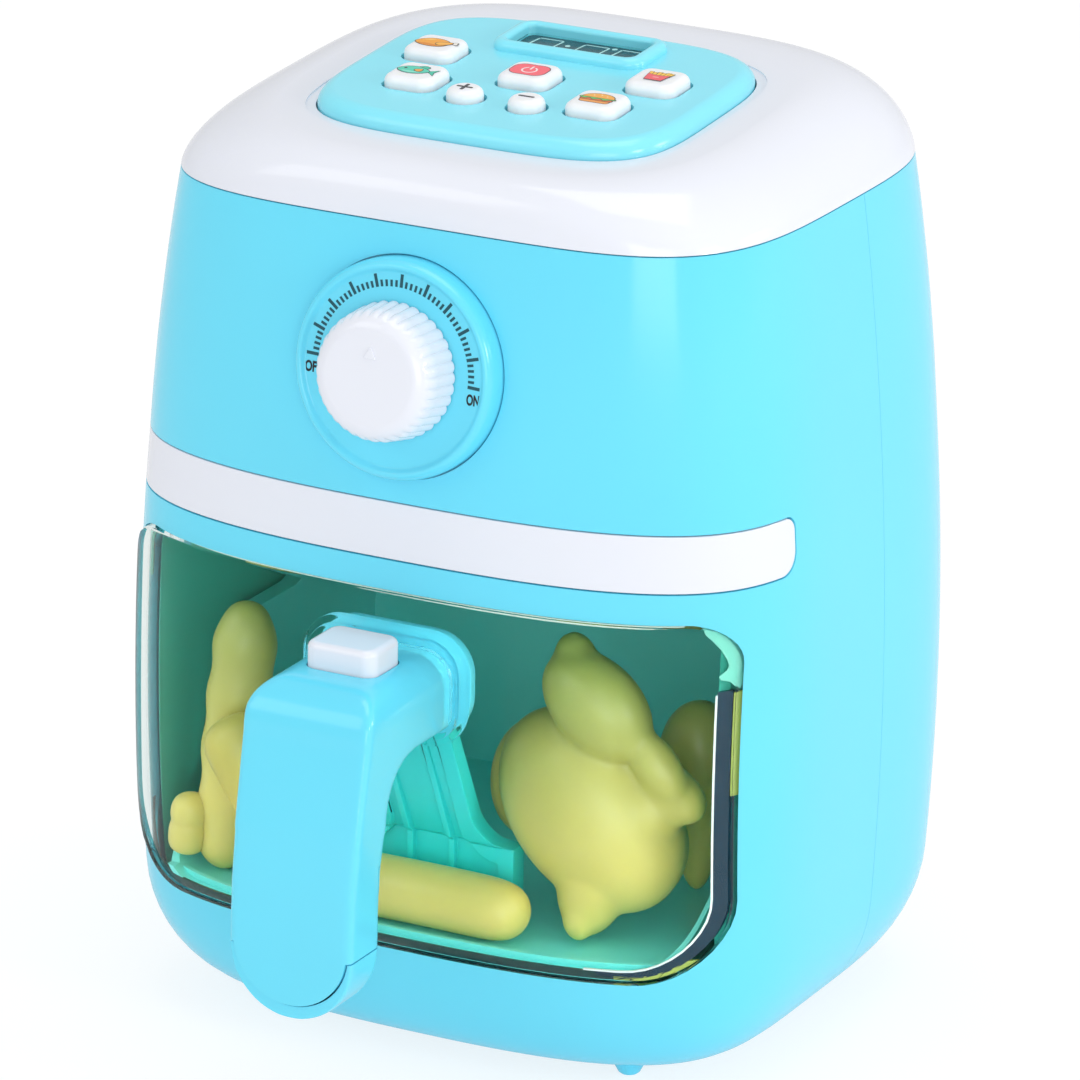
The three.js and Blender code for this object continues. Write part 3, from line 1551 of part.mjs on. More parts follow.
function foodPieces() {
  const c = chicken;
  const roast = union(
    ...chickenLumpShares.map(([radii, [x, y, z], turn], i) => {
      const place = [
        tubHalfWidth - c.inset + x * c.radius,
        c.setback - body.halfDepth + y * c.radius,
        tubFloorTop + c.rise + z * c.radius,
      ];
      return lump(radii.map((share) => share * c.radius), place, turn, i === 0 ? 12 : 8);
    }),
  );
  model.add(mesh("roast_chicken", roast, yellow));
  const w = wavyStick;
  const wavyLength = linerHigh - liner.wall - tubFloorTop - w.headroom;
  const wavy = stick(
    (t) => {
      const sway = w.wave * Math.sin(t * stickSwings * 2 * Math.PI);
      const x = THREE.MathUtils.lerp(w.lowInset, w.highInset, t) - tubHalfWidth + sway;
      const y = THREE.MathUtils.lerp(w.lowSetback, w.highSetback, t) - body.halfDepth;
      return [x, y, tubFloorTop + gap + t * wavyLength];
    },
    (t) => w.radius + (w.wave / 2) * Math.sin(t * stickBulges * 2 * Math.PI),
  );
  model.add(mesh("wavy_stick", wavy, yellow));
  const s = sausage;
  const sausageZ = tubFloorTop + gap + s.radius;
  const link = stick(
    (t) => {
      const bow = s.bend * 2 * t * (1 - t);
      return [s.across + (t - 0.5) * s.length, s.setback - body.halfDepth + bow, sausageZ];
    },
    () => s.radius,
  );
  model.add(mesh("sausage", link, yellow));
  const n = leaningStick;
  const leaning = stick(
    (t) => {
      const x = THREE.MathUtils.lerp(n.lowInset, n.highInset, t) - tubHalfWidth;
      return [x, n.setback - body.halfDepth, tubFloorTop + n.rise + t * n.height];
    },
    () => n.radius,
  );
  model.add(mesh("leaning_stick", leaning, yellow));
  const h = shortStick;
  const shortMiddle = [h.inset - tubHalfWidth, h.setback - body.halfDepth, tubFloorTop + h.rise];
  const short = lump([h.radius, h.radius, h.halfHeight], shortMiddle);
  model.add(mesh("short_stick", short, yellow));
  const l = loaf;
  const loafMiddle = [
    tubHalfWidth - l.inset,
    l.setback - body.halfDepth,
    tubFloorTop + gap + l.halfHeight,
  ];
  model.add(mesh("round_loaf", lump([l.radius, l.radius, l.halfHeight], loafMiddle), yellow));
}

casing();
shellScrews();
topCap();
trimBand();
basePlate();
chamberLiner();
chamberLamp();
drawerWindow();
drawerTub();
handleBracket();
handleShells();
releaseButton();
dialPieces();
controlPanel();
keyPieces();
batteryPieces();
foodPieces();

// The origin is the middle of the outer box, on the surface that the feet rest on.
const placed = new THREE.Group();
placed.add(model);
const bounds = new THREE.Box3().setFromObject(placed, true);
model.position.set(
  -(bounds.min.x + bounds.max.x) / 2,
  -(bounds.min.y + bounds.max.y) / 2,
  -bounds.min.z,
);

export default placed;
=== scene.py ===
"""Looks of a toy air fryer: a glossy sky-blue body, a white cap, a clear drawer front and play food.

Sizes are millimetres in the body's own frame: x to the right, y to the back, z up from the underside
of the base plate. A finished piece is turned into metres in the model's frame when it is settled.
"""

import logging
import math
from collections.abc import Callable, Sequence
from dataclasses import dataclass, field
from enum import Enum

import bpy
from mathutils import Matrix, Vector


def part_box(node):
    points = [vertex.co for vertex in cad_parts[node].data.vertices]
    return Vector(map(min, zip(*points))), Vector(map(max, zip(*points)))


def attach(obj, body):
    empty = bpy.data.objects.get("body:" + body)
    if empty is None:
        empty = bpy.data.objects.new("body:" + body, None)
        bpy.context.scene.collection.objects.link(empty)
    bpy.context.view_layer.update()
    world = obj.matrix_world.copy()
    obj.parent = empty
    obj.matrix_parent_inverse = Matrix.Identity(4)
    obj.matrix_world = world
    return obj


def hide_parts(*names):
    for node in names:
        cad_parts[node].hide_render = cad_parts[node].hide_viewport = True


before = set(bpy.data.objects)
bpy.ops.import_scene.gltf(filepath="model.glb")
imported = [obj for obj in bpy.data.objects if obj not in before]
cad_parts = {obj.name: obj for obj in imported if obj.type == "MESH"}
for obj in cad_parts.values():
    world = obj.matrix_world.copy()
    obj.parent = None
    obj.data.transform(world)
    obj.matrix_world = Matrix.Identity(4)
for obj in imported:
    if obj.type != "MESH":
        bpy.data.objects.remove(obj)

Flat = tuple[float, float]
Spot = tuple[float, float, float]
Outline = list[Flat]
Piece = bpy.types.Object
Tree = bpy.types.NodeTree
Socket = bpy.types.NodeSocket

log = logging.getLogger("toy_air_fryer")

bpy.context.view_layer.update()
GAP = 0.3                # play between neighbours
OVERRUN = 3.0            # how far a cutter reaches past what it cuts
FURTHER = 9.0            # the same, past a bar that itself overruns
FOOT_HEIGHT = 3.2
HANDLE_FRONT = 112.0
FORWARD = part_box("handle_front_cover")[0].y * 1000 + HANDLE_FRONT
PLACE = Matrix.Translation((0, FORWARD / 1000, FOOT_HEIGHT / 1000)) @ Matrix.Scale(0.001, 4)


class Join(Enum):
    """How other shapes change a piece."""

    ADD = "UNION"
    CUT = "DIFFERENCE"
    KEEP = "INTERSECT"


class Axis(Enum):
    """The way a flat outline is raised into a bar."""

    X = 0
    Y = 1
    Z = 2


# Workbench


def pick(*pieces: Piece) -> None:
    """Selects these pieces only, and makes the first one active."""
    bpy.ops.object.select_all(action="DESELECT")
    for piece in pieces:
        piece.select_set(True)
        bpy.context.view_layer.objects.active = pieces[0]


def finish_edit() -> Piece:
    """Turns the active piece's faces outwards and leaves edit mode."""
    bpy.ops.mesh.select_all(action="SELECT")
    bpy.ops.mesh.normals_make_consistent(inside=False)
    bpy.ops.object.mode_set(mode="OBJECT")
    return bpy.context.object


def wrap(rings: Sequence[Sequence[Spot]], loop: bool = False) -> Piece:
    """Wraps a sheet of quads round a stack of rings.

    Args:
        rings: rings with the same number of places, from one end to the other.
        loop: whether the last ring is the first one again, so that no end is left to close.

    Returns:
        The closed piece.
    """
    pick()
    across = len(rings[0])
    bpy.ops.mesh.primitive_grid_add(x_subdivisions=across, y_subdivisions=len(rings) - 1, size=1)
    for index, vertex in enumerate(bpy.context.object.data.vertices):
        level, spot = divmod(index, across + 1)
        vertex.co = rings[level][spot % across]
    bpy.ops.object.mode_set(mode="EDIT")
    bpy.ops.mesh.select_all(action="SELECT")
    bpy.ops.mesh.remove_doubles(threshold=1e-4)
    if not loop:
        bpy.ops.mesh.fill_holes(sides=0)
    return finish_edit()


def prism(outline: Sequence[Flat], axis: Axis, start: float, end: float) -> Piece:
    """Raises a flat outline into a bar.

    Args:
        outline: corners as (y, z), (x, z) or (x, y), for a bar along x, y or z.
        axis: the way the bar runs.
        start: where it starts.
        end: where it ends.

    Returns:
        The closed bar.
    """
    pick()
    bpy.ops.mesh.primitive_circle_add(vertices=len(outline), fill_type="NGON")
    for vertex, (u, v) in zip(bpy.context.object.data.vertices, outline):
        vertex.co = {Axis.X: (start, u, v), Axis.Y: (u, start, v), Axis.Z: (u, v, start)}[axis]
    step = tuple(end - start if way is axis else 0 for way in Axis)
    bpy.ops.object.mode_set(mode="EDIT")
    bpy.ops.mesh.select_all(action="SELECT")
    bpy.ops.mesh.extrude_region_move(TRANSFORM_OT_translate={"value": step})
    return finish_edit()


def block(low: Spot, high: Spot) -> Piece:
    """A block between two corners."""
    return prism(rectangle(low[0], high[0], low[1], high[1]), Axis.Z, low[2], high[2])


def bar(radius: float, axis: Axis, centre: Flat, start: float, end: float, sides: int = 24) -> Piece:
    """A round bar along an axis, round a centre in the plane across it."""
    return prism(circle(*centre, radius, sides), axis, start, end)


def combine(piece: Piece, how: Join, tools: Sequence[Piece]) -> Piece:
    """Adds, cuts or keeps what other shapes cover, one after the other."""
    for tool in tools:
        refine(piece, "BOOLEAN", operation=how.value, object=tool, solver="MANIFOLD")
        bpy.data.objects.remove(tool)
    return piece


def add(piece: Piece, *tools: Piece) -> Piece:
    """Adds other shapes to a piece."""
    return combine(piece, Join.ADD, tools)


def cut(piece: Piece, *tools: Piece) -> Piece:
    """Cuts other shapes out of a piece."""
    return combine(piece, Join.CUT, tools)


def keep(piece: Piece, *tools: Piece) -> Piece:
    """Keeps what a piece shares with other shapes."""
    return combine(piece, Join.KEEP, tools)


def refine(piece: Piece, kind: str, **settings: object) -> Piece:
    """Adds a modifier to a piece and applies it."""
    pick(piece)
    modifier = piece.modifiers.new(kind.lower(), kind)
    for key, value in settings.items():
        setattr(modifier, key, value)
    bpy.ops.object.modifier_apply(modifier=modifier.name)
    return piece


def soften(piece: Piece, width: float, segments: int = 2, angle: float = 50.0) -> Piece:
    """Rounds the edges that are sharper than an angle in degrees."""
    options = {"limit_method": "ANGLE", "use_clamp_overlap": False, "miter_outer": "MITER_ARC"}
    turn = math.radians(angle)
    return refine(piece, "BEVEL", width=width, segments=segments, angle_limit=turn, **options)


def melt(piece: Piece, voxel: float, rounds: int) -> Piece:
    """Melts a piece into one skin of voxels and smooths it."""
    refine(piece, "REMESH", mode="VOXEL", voxel_size=voxel)
    return refine(piece, "SMOOTH", factor=0.5, iterations=rounds)


def copied(piece: Piece) -> Piece:
    """A second piece with a mesh of its own."""
    twin = piece.copy()
    twin.data = piece.data.copy()
    bpy.context.collection.objects.link(twin)
    return twin


def joined(pieces: Sequence[Piece]) -> Piece:
    """One piece out of several that lie apart or overlap."""
    pick(*pieces)
    bpy.ops.object.join()
    return pieces[0]


def moved(piece: Piece, matrix: Matrix) -> Piece:
    """Moves and turns the mesh of a piece."""
    piece.data.transform(matrix)
    return piece


def turned(piece: Piece, degrees: float) -> Piece:
    """Turns the mesh of a piece about z."""
    return moved(piece, Matrix.Rotation(math.radians(degrees), 4, "Z"))


def settle(
    piece: Piece,
    name: str,
    finish: "Finish",
    body: str,
    slot: str,
    *stands_for: str,
    sharp: float = 32.0,
    weighted: bool = True,
) -> None:
    """Turns a piece into metres in the model's frame, shades and dresses it, and lets it ride.

    Args:
        piece: a piece in millimetres in the body's frame.
        name: the piece's name.
        finish: the finish it gets.
        body: the moving body it belongs to.
        slot: the record's material slot; not used.
        stands_for: nodes that it replaces.
        sharp: the angle in degrees from which an edge stays sharp.
        weighted: whether large faces lead the shading.
    """
    piece.name = name
    moved(piece, PLACE)
    pick(piece)
    bpy.ops.object.shade_smooth_by_angle(angle=math.radians(sharp))
    if weighted:
        refine(piece, "WEIGHTED_NORMAL", keep_sharp=True, weight=60)
    piece.data.materials.clear()
    piece.data.materials.append(finish.material())
    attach(piece, body)
    if stands_for:
        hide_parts(*stands_for)
    log.info("%s: %d faces on %s", piece.name, len(piece.data.polygons), body)


# Outlines


def arc(u: float, v: float, radius: float, start: float, end: float, steps: int = 10) -> Outline:
    """Places on an arc, its angles in degrees."""
    angles = [math.radians(start + (end - start) * i / steps) for i in range(steps + 1)]
    return [(u + radius * math.cos(a), v + radius * math.sin(a)) for a in angles]


def circle(u: float, v: float, radius: float, sides: int) -> Outline:
    """Places on a circle."""
    return arc(u, v, radius, 0, 360, sides)[:-1]


def rectangle(left: float, right: float, low: float, high: float) -> Outline:
    """The corners of a rectangle."""
    return [(left, low), (right, low), (right, high), (left, high)]


def rounded(
    left: float,
    right: float,
    low: float,
    high: float,
    low_radius: float,
    high_radius: float | None = None,
    steps: int = 10,
) -> Outline:
    """A rectangle with its lower and upper corners rounded."""
    top = low_radius if high_radius is None else high_radius
    return [
        *arc(right - low_radius, low + low_radius, low_radius, -90, 0, steps),
        *arc(right - top, high - top, top, 0, 90, steps),
        *arc(left + top, high - top, top, 90, 180, steps),
        *arc(left + low_radius, low + low_radius, low_radius, 180, 270, steps),
    ]


def squircle(half: Flat, side: float, front: float, middle: float = 0, quarter: int = 40) -> Outline:
    """Places on |x/a|^side + |y/b|^front = 1, spread evenly by an eased angle."""
    places = []
    for i in range(4 * quarter):
        step = (i % quarter) / quarter
        angle = (i // quarter + eased(step)) * math.pi / 2
        c, s = math.cos(angle), math.sin(angle)
        x = half[0] * math.copysign(abs(c) ** (2 / side), c)
        y = half[1] * math.copysign(abs(s) ** (2 / front), s)
        places.append((x, middle + y))
    return places


def smooth_loop(points: Sequence[Flat], steps: int = 5) -> Outline:
    """A closed curve through a few places."""
    places = []
    for i in range(len(points)):
        a, b, c, d = (Vector(points[(i + k) % len(points)]) for k in (-1, 0, 1, 2))
        for t in (j / steps for j in range(steps)):
            bend = 2 * a - 5 * b + 4 * c - d + t * (3 * (b - c) + d - a)
            places.append(tuple(b + 0.5 * t * ((c - a) + t * bend)))
    return places


def grown(outline: Sequence[Flat], by: float) -> Outline:
    """An outline pushed outwards, square to its edges."""
    spots = [Vector(spot) for spot in outline]
    round_about = [(spots[i - 1], spots[i], spots[(i + 1) % len(spots)]) for i in range(len(spots))]
    area = sum(here.x * after.y - after.x * here.y for _, here, after in round_about)
    reach = by if area > 0 else -by
    places = []
    for before, here, after in round_about:
        way = (here - before).normalized() + (after - here).normalized()
        if way.length < 1e-6:
            way = after - here
        way.normalize()
        places.append((here.x + reach * way.y, here.y - reach * way.x))
    return places


def at_level(outline: Sequence[Flat], z: float) -> list[Spot]:
    """A flat outline at a height."""
    return [(x, y, z) for x, y in outline]


def mix(a: float, b: float, t: float) -> float:
    """A value between two others."""
    return a + (b - a) * t


def clamp(value: float) -> float:
    """A value held between 0 and 1."""
    return min(max(value, 0), 1)


def eased(t: float) -> float:
    """A share from 0 to 1 that starts and ends gently."""
    return t * t * (3 - 2 * t)


# Finishes


def linear(colour: str) -> tuple[float, ...]:
    """An sRGB hex colour as linear values."""
    parts = [int(colour[i : i + 2], 16) / 255 for i in (1, 3, 5)]
    return (*(p / 12.92 if p <= 0.04045 else ((p + 0.055) / 1.055) ** 2.4 for p in parts), 1.0)


def add_node(tree: Tree, kind: str, inputs: dict[str | int, object], output: str | int = 0) -> Socket:
    """Adds a node.

    Args:
        tree: the tree it goes into.
        kind: the node's type, without its common first word.
        inputs: a value or the socket that feeds it by input, or a value by property name.
        output: the output that is wanted.

    Returns:
        The socket of that output.
    """
    made = tree.nodes.new("ShaderNode" + kind)
    for key, value in inputs.items():
        if isinstance(value, Socket):
            tree.links.new(value, made.inputs[key])
        elif isinstance(key, int) or key in made.inputs:
            made.inputs[key].default_value = value
        else:
            setattr(made, key, value)
    return made.outputs[output]


def noise(tree: Tree, size_mm: float, detail: float, kind: str = "TexNoise") -> Socket:
    """A pattern of a real size, fixed to the piece itself."""
    place = add_node(tree, "TexCoord", {}, "Object")
    return add_node(tree, kind, {"Vector": place, "Scale": 1000 / size_mm, "Detail": detail})


def between(tree: Tree, source: Socket, low: float, high: float) -> Socket:
    """A pattern spread over a range of values."""
    return add_node(tree, "MapRange", {"Value": source, "To Min": low, "To Max": high})


def shaded(tree: Tree, colour: str, source: Socket, share: float) -> Socket:
    """A colour that a pattern makes darker and lighter by a share."""
    value = between(tree, source, 1 - share, 1 + share)
    return add_node(tree, "HueSaturation", {"Color": linear(colour), "Value": value})


def fill_tree(owner: bpy.types.ID, kind: str, surface: Callable[[Tree], Socket]) -> None:
    """Gives a material or a world the nodes of a surface, in front of an output of its kind."""
    owner.use_nodes = True
    tree = owner.node_tree
    tree.nodes.clear()
    tree.links.new(surface(tree), tree.nodes.new("ShaderNodeOutput" + kind).inputs["Surface"])


@dataclass(frozen=True)
class Finish:
    """A finish whose material is made once and shared."""

    name: str

    def material(self) -> bpy.types.Material:
        """The shared material."""
        made = bpy.data.materials.get(self.name)
        if not made:
            made = bpy.data.materials.new(self.name)
            fill_tree(made, "Material", self.surface)
        return made

    def surface(self, tree: Tree) -> Socket:
        """The shader's socket; each finish draws its own."""
        raise NotImplementedError


@dataclass(frozen=True)
class Polished(Finish):
    """A coloured finish whose gloss varies."""

    colour: str
    roughness: float

    def gloss(self, tree: Tree, source: Socket, low: float, high: float) -> Socket:
        """The roughness, varied by a pattern."""
        return between(tree, source, self.roughness * low, self.roughness * high)


@dataclass(frozen=True)
class MouldedPlastic(Polished):
    """Injection-moulded plastic: nearly even colour, flow marks a few centimetres long, fine tool grain."""

    ior: float = 1.53
    tone: float = 0.03
    flow_mm: float = 45.0
    grain_mm: float = 0.6
    grain_depth_mm: float = 0.002
    grain_strength: float = 0.25
    glow: float = 0.0
    glow_mm: float = 2.0
    glow_colours: Spot = (1.0, 1.0, 0.8)

    def surface(self, tree: Tree) -> Socket:
        """Flow marks shift the colour a little, and the grain breaks the gloss."""
        grain = noise(tree, self.grain_mm, 2)
        bump = {"Strength": self.grain_strength, "Distance": self.grain_depth_mm / 1000, "Height": grain}
        inputs = {
            "Base Color": shaded(tree, self.colour, noise(tree, self.flow_mm, 3), self.tone),
            "Roughness": self.gloss(tree, grain, 0.85, 1.15),
            "Normal": add_node(tree, "Bump", bump),
            "IOR": self.ior,
            "Subsurface Weight": self.glow,
            "Subsurface Scale": self.glow_mm / 1000,
            "Subsurface Radius": self.glow_colours,
        }
        return add_node(tree, "BsdfPrincipled", inputs)


@dataclass(frozen=True)
class ClearPlastic(Polished):
    """Clear moulded polystyrene: lets lamp light through to what lies behind it, with faint waves."""

    ior: float
    wave_mm: float = 30.0

    def surface(self, tree: Tree) -> Socket:
        """Shadow rays pass straight through, tinted by the plastic."""
        tint = linear(self.colour)
        inputs = {
            "Base Color": tint,
            "Roughness": self.gloss(tree, noise(tree, self.wave_mm, 1), 0.6, 1.4),
            "IOR": self.ior,
            "Transmission Weight": 1.0,
        }
        clear = add_node(tree, "BsdfPrincipled", inputs)
        through = add_node(tree, "BsdfTransparent", {"Color": tint})
        shadow = add_node(tree, "LightPath", {}, "Is Shadow Ray")
        return add_node(tree, "MixShader", {0: shadow, 1: clear, 2: through})


@dataclass(frozen=True)
class SoftVinyl(Polished):
    """Rotation-moulded soft PVC: light sinks in a few millimetres, the skin is satin and a little cloudy, and
    painted shade darkens it upwards.
    """

    shadow_colour: str
    # Painted shade: the food is darkened towards this green between these two heights, in metres.
    top_shade_colour: str = "#94A054"
    heights: Flat = (0.05, 0.098)
    cloud_mm: float = 16.0
    pore_mm: float = 1.2
    pore_depth_mm: float = 0.03
    pore_strength: float = 0.2
    ior: float = 1.53
    glow: float = 0.45
    depth_mm: float = 5.0
    glow_colours: Spot = (1.0, 0.9, 0.35)

    def surface(self, tree: Tree) -> Socket:
        """Clouds mix two yellows, painted shade turns them darker and greener upwards, and shallow pores
        soften the shine.
        """
        cloud, pore = noise(tree, self.cloud_mm, 3), noise(tree, self.pore_mm, 3)
        pair = {"data_type": "RGBA", 0: cloud, 6: linear(self.colour), 7: linear(self.shadow_colour)}
        yellow = add_node(tree, "Mix", pair, 2)
        # Painted shade: the colour goes darker and greener with height.
        level = add_node(tree, "SeparateXYZ", {0: add_node(tree, "TexCoord", {}, "Object")}, "Z")
        low, high = self.heights
        rise = add_node(tree, "MapRange", {"From Min": low, "From Max": high, "Value": level})
        pair = {"data_type": "RGBA", 0: rise, 6: yellow, 7: linear(self.top_shade_colour)}
        bump = {"Strength": self.pore_strength, "Distance": self.pore_depth_mm / 1000, "Height": pore}
        inputs = {
            "Base Color": add_node(tree, "Mix", pair, 2),
            "Roughness": self.gloss(tree, pore, 0.8, 1.25),
            "Normal": add_node(tree, "Bump", bump),
            "IOR": self.ior,
            "Subsurface Weight": self.glow,
            "Subsurface Scale": self.depth_mm / 1000,
            "Subsurface Radius": self.glow_colours,
        }
        return add_node(tree, "BsdfPrincipled", inputs)


@dataclass(frozen=True)
class Ink(Finish):
    """Pad-printed ink: a thin even film, slightly mottled, less glossy than the plastic under it."""

    colour: str
    roughness: float = 0.4
    ior: float = 1.5
    mottle_mm: float = 0.5
    tone: float = 0.08

    def surface(self, tree: Tree) -> Socket:
        """A fine mottle shifts its depth of colour."""
        tint = shaded(tree, self.colour, noise(tree, self.mottle_mm, 2), self.tone)
        inputs = {"Base Color": tint, "Roughness": self.roughness, "IOR": self.ior}
        return add_node(tree, "BsdfPrincipled", inputs)


@dataclass(frozen=True)
class PlatedSteel(Polished):
    """Zinc-plated steel: bright, with fine spangle in its gloss."""

    spangle_mm: float = 0.8

    def surface(self, tree: Tree) -> Socket:
        """Cells of spangle differ in gloss."""
        gloss = self.gloss(tree, noise(tree, self.spangle_mm, 0, "TexVoronoi"), 0.7, 1.4)
        inputs = {"Base Color": linear(self.colour), "Metallic": 1.0, "Roughness": gloss}
        return add_node(tree, "BsdfPrincipled", inputs)


@dataclass(frozen=True)
class Paper(Polished):
    """Matt backdrop paper that glows a little, more so for the camera, so that it stays near white."""

    white: float
    glow_share: Flat = (0.28, 0.38)
    fibre_mm: float = 10 / 3
    specular: float = 0.1

    def surface(self, tree: Tree) -> Socket:
        """Fibres break its faint gloss, and the camera sees it brighter than the toy does."""
        inputs = {
            "Base Color": linear(self.colour),
            "Roughness": self.gloss(tree, noise(tree, self.fibre_mm, 3), 0.8, 0.95),
            "Specular IOR Level": self.specular,
        }
        sheet = add_node(tree, "BsdfPrincipled", inputs)
        glow = add_node(tree, "Emission", {"Color": (1, 1, 1, 1), "Strength": self.white})
        seen = add_node(tree, "LightPath", {}, "Is Camera Ray")
        least, more = self.glow_share
        share = add_node(tree, "Math", {"operation": "MULTIPLY_ADD", 0: seen, 1: more, 2: least})
        return add_node(tree, "MixShader", {0: share, 1: sheet, 2: glow})


# Gloss that mirrors the softboxes, with a faint glow where the walls are thin.
BLUE_ABS = MouldedPlastic("abs_sky_blue_gloss_moulded", "#6ADFFA", 0.16, glow=0.08)
PANEL_ABS = MouldedPlastic("abs_pale_blue_gloss_moulded", "#8AEAFC", 0.2, glow=0.1)
WHITE_ABS = MouldedPlastic("abs_white_gloss_moulded", "#E9ECF5", 0.14, tone=0.015, glow=0.05)
# Softer shine on the small keys, and no shine to speak of on what lies inside.
KEY_ABS = MouldedPlastic("abs_key_white_satin_moulded", "#F4F6FA", 0.3, tone=0.01, glow=0.25, glow_mm=1.5)
BLACK_ABS = MouldedPlastic("abs_black_satin_moulded", "#25282C", 0.4)
BOARD = MouldedPlastic("epoxy_glass_laminate_green", "#2E7D50", 0.35, tone=0.12, flow_mm=4.0)
RUBBER = MouldedPlastic("silicone_rubber_grey_moulded", "#B6BFC3", 0.6, grain_depth_mm=0.01)
CARD = MouldedPlastic("card_dark_teal_printed", "#0A3A46", 0.55, tone=0.1, flow_mm=6)
# Waxy satin of the drawer, lit from within where it catches the light.
TEAL_PP = MouldedPlastic("pp_teal_satin_moulded", "#7CF0EE", 0.32, glow=0.2, glow_mm=3.0)
TONGUE_PP = MouldedPlastic("pp_sea_green_satin_moulded", "#36DEE2", 0.3, glow=0.2, glow_mm=3.0)
LINER_PP = MouldedPlastic("pp_deep_teal_satin_moulded", "#44C2B0", 0.5, tone=0.06)
# Thin frame parts behind the pane: painted shade in the gap along its edges, painted highlights along its
# inner rib and its top edge, a painted yellow reflection of the food in its edge, and the mint hooks.
# Painted shade: a navy sheet for the shaded gap along the pane's right and lower edge.
GAP_SHADE_PP = MouldedPlastic("pp_navy_painted_gap_shade", "#0A2C42", 0.2)
# Painted shade: a bottle green sheet for the shaded gap along the pane's bottom.
SILL_SHADE_PP = MouldedPlastic("pp_bottle_green_painted_sill_shade", "#0C3638", 0.25)
HOOK_PP = MouldedPlastic("pp_mint_gloss_moulded", "#7FD3C4", 0.25, glow=0.3, glow_mm=2.0)
# Painted highlight: a pale sheet for the bright top edge of the pane.
BROW_HIGHLIGHT_PP = MouldedPlastic("pp_pale_painted_brow_highlight", "#DCE6E0", 0.25, glow=0.3)
# Painted reflection: an olive sheet for the yellow food seen in the pane's clear edge.
FOOD_REFLECTION_PP = MouldedPlastic("pp_olive_painted_food_reflection", "#B4BE5E", 0.25, glow=0.2)
# Clear with hardly any reflection, as the pane and the display look in the photograph.
PS_CLEAR = ClearPlastic("ps_clear_moulded", "#F4FCF8", 0.03, 1.14)
PS_LENS = ClearPlastic("ps_display_lens_moulded", "#E3F4F4", 0.02, 1.1)
# Butter yellow that light sinks into, one of them a little warmer, both darkened to green towards the top by
# painted shade.
FOOD_PVC = SoftVinyl("pvc_soft_yellow_moulded", "#E6D47E", 0.36, "#D6C468")
BRIGHT_PVC = SoftVinyl("pvc_soft_warm_yellow_moulded", "#E8D070", 0.36, "#DCC260")
# Bright cold metal of screws and springs.
STEEL = PlatedSteel("steel_zinc_plated", "#C3C7CC", 0.3)
# Flat crisp print.
SCALE_INK = Ink("ink_scale_dark_teal", "#0A4F5C")
TEXT_INK = Ink("ink_text_black", "#101A22")
LINE_INK = Ink("ink_line_charcoal", "#3A3F44")
DIGIT_INK = Ink("ink_pale_grey_printed", "#C9D8D6")


# Body


@dataclass(frozen=True)
class BodyForm:
    """The body's outer form: a squircle in plan that swells to a waist and turns in to a flat underside."""

    half_width: float = 78.43
    half_depth: float = 69.95
    seam: float = 184.2
    waist: float = 69.45
    blend: float = 125.7
    upper_taper: float = 8.23
    lower_taper: float = 3.15
    turn_width: float = 18.65
    turn_height: float = 26.16
    wall: float = 2.5
    side_curves: Flat = (2.73, 4.62)
    front_curves: Flat = (4.72, 3.74)
    level_step: float = 3.6
    turn_steps: int = 12

    def inset(self, height: float) -> float:
        """How far the body turns in above its waist."""
        return self.upper_taper * ((height - self.waist) / (self.seam - self.waist)) ** 2

    def front(self, height: float) -> float:
        """How far the front lies from the middle above the waist."""
        return self.half_depth - self.inset(height)

    def ring(self, height: float, depth: float) -> list[Spot]:
        """One ring of the body at a height, sunk below the surface by a depth."""
        above = max(height - self.waist, 0) / (self.seam - self.waist)
        below = max(self.waist - height, 0) / self.waist
        rise = clamp((height - depth) / self.turn_height)
        turn = self.turn_width * (1 - math.sqrt(1 - (1 - rise) ** 2))
        inset = self.upper_taper * above**2 + self.lower_taper * below**2 + turn + depth
        share = clamp((height - self.blend) / (self.seam - self.blend))
        half = (self.half_width - inset, self.half_depth - inset)
        side, front = mix(*self.side_curves, share), mix(*self.front_curves, share)
        return at_level(squircle(half, side, front), height)

    def solid(self, depth: float, low: float, high: float) -> Piece:
        """The body's form between two heights, sunk by a depth."""
        angles = [i * math.pi / 2 / self.turn_steps for i in range(self.turn_steps + 1)]
        turn = [depth + self.turn_height * (1 - math.cos(angle)) for angle in angles]
        count = int((self.seam - self.turn_height - depth) / self.level_step)
        straight = [self.turn_height + depth + (i + 1) * self.level_step for i in range(count)]
        within = [level for level in turn + straight if low + GAP < level < high - GAP]
        return wrap([self.ring(height, depth) for height in (low, *within, high)])

    def skin(self, outer: float, inner: float, low: float, high: float) -> Piece:
        """A skin between two depths and two heights."""
        return cut(self.solid(outer, low, high), self.solid(inner, low - OVERRUN, high + OVERRUN))


FORM = BodyForm()
FAR_FRONT = -FORM.half_depth - OVERRUN
FAR_BACK = FORM.half_depth + OVERRUN
FAR_SIDE = FORM.half_width + OVERRUN
FAR_UP = 130.0           # above the window and all that lies behind it


def from_front(outline: Sequence[Flat], end: float = 0.0, further: float = 0.0) -> Piece:
    """A bar from in front of the toy to a place along y, with an outline as its front view."""
    return prism(outline, Axis.Y, FAR_FRONT - further, end)


def hole(outline: Sequence[Flat]) -> Piece:
    """A cutter from further in front to the middle, with an outline as its front view."""
    return from_front(outline, 0, FURTHER)


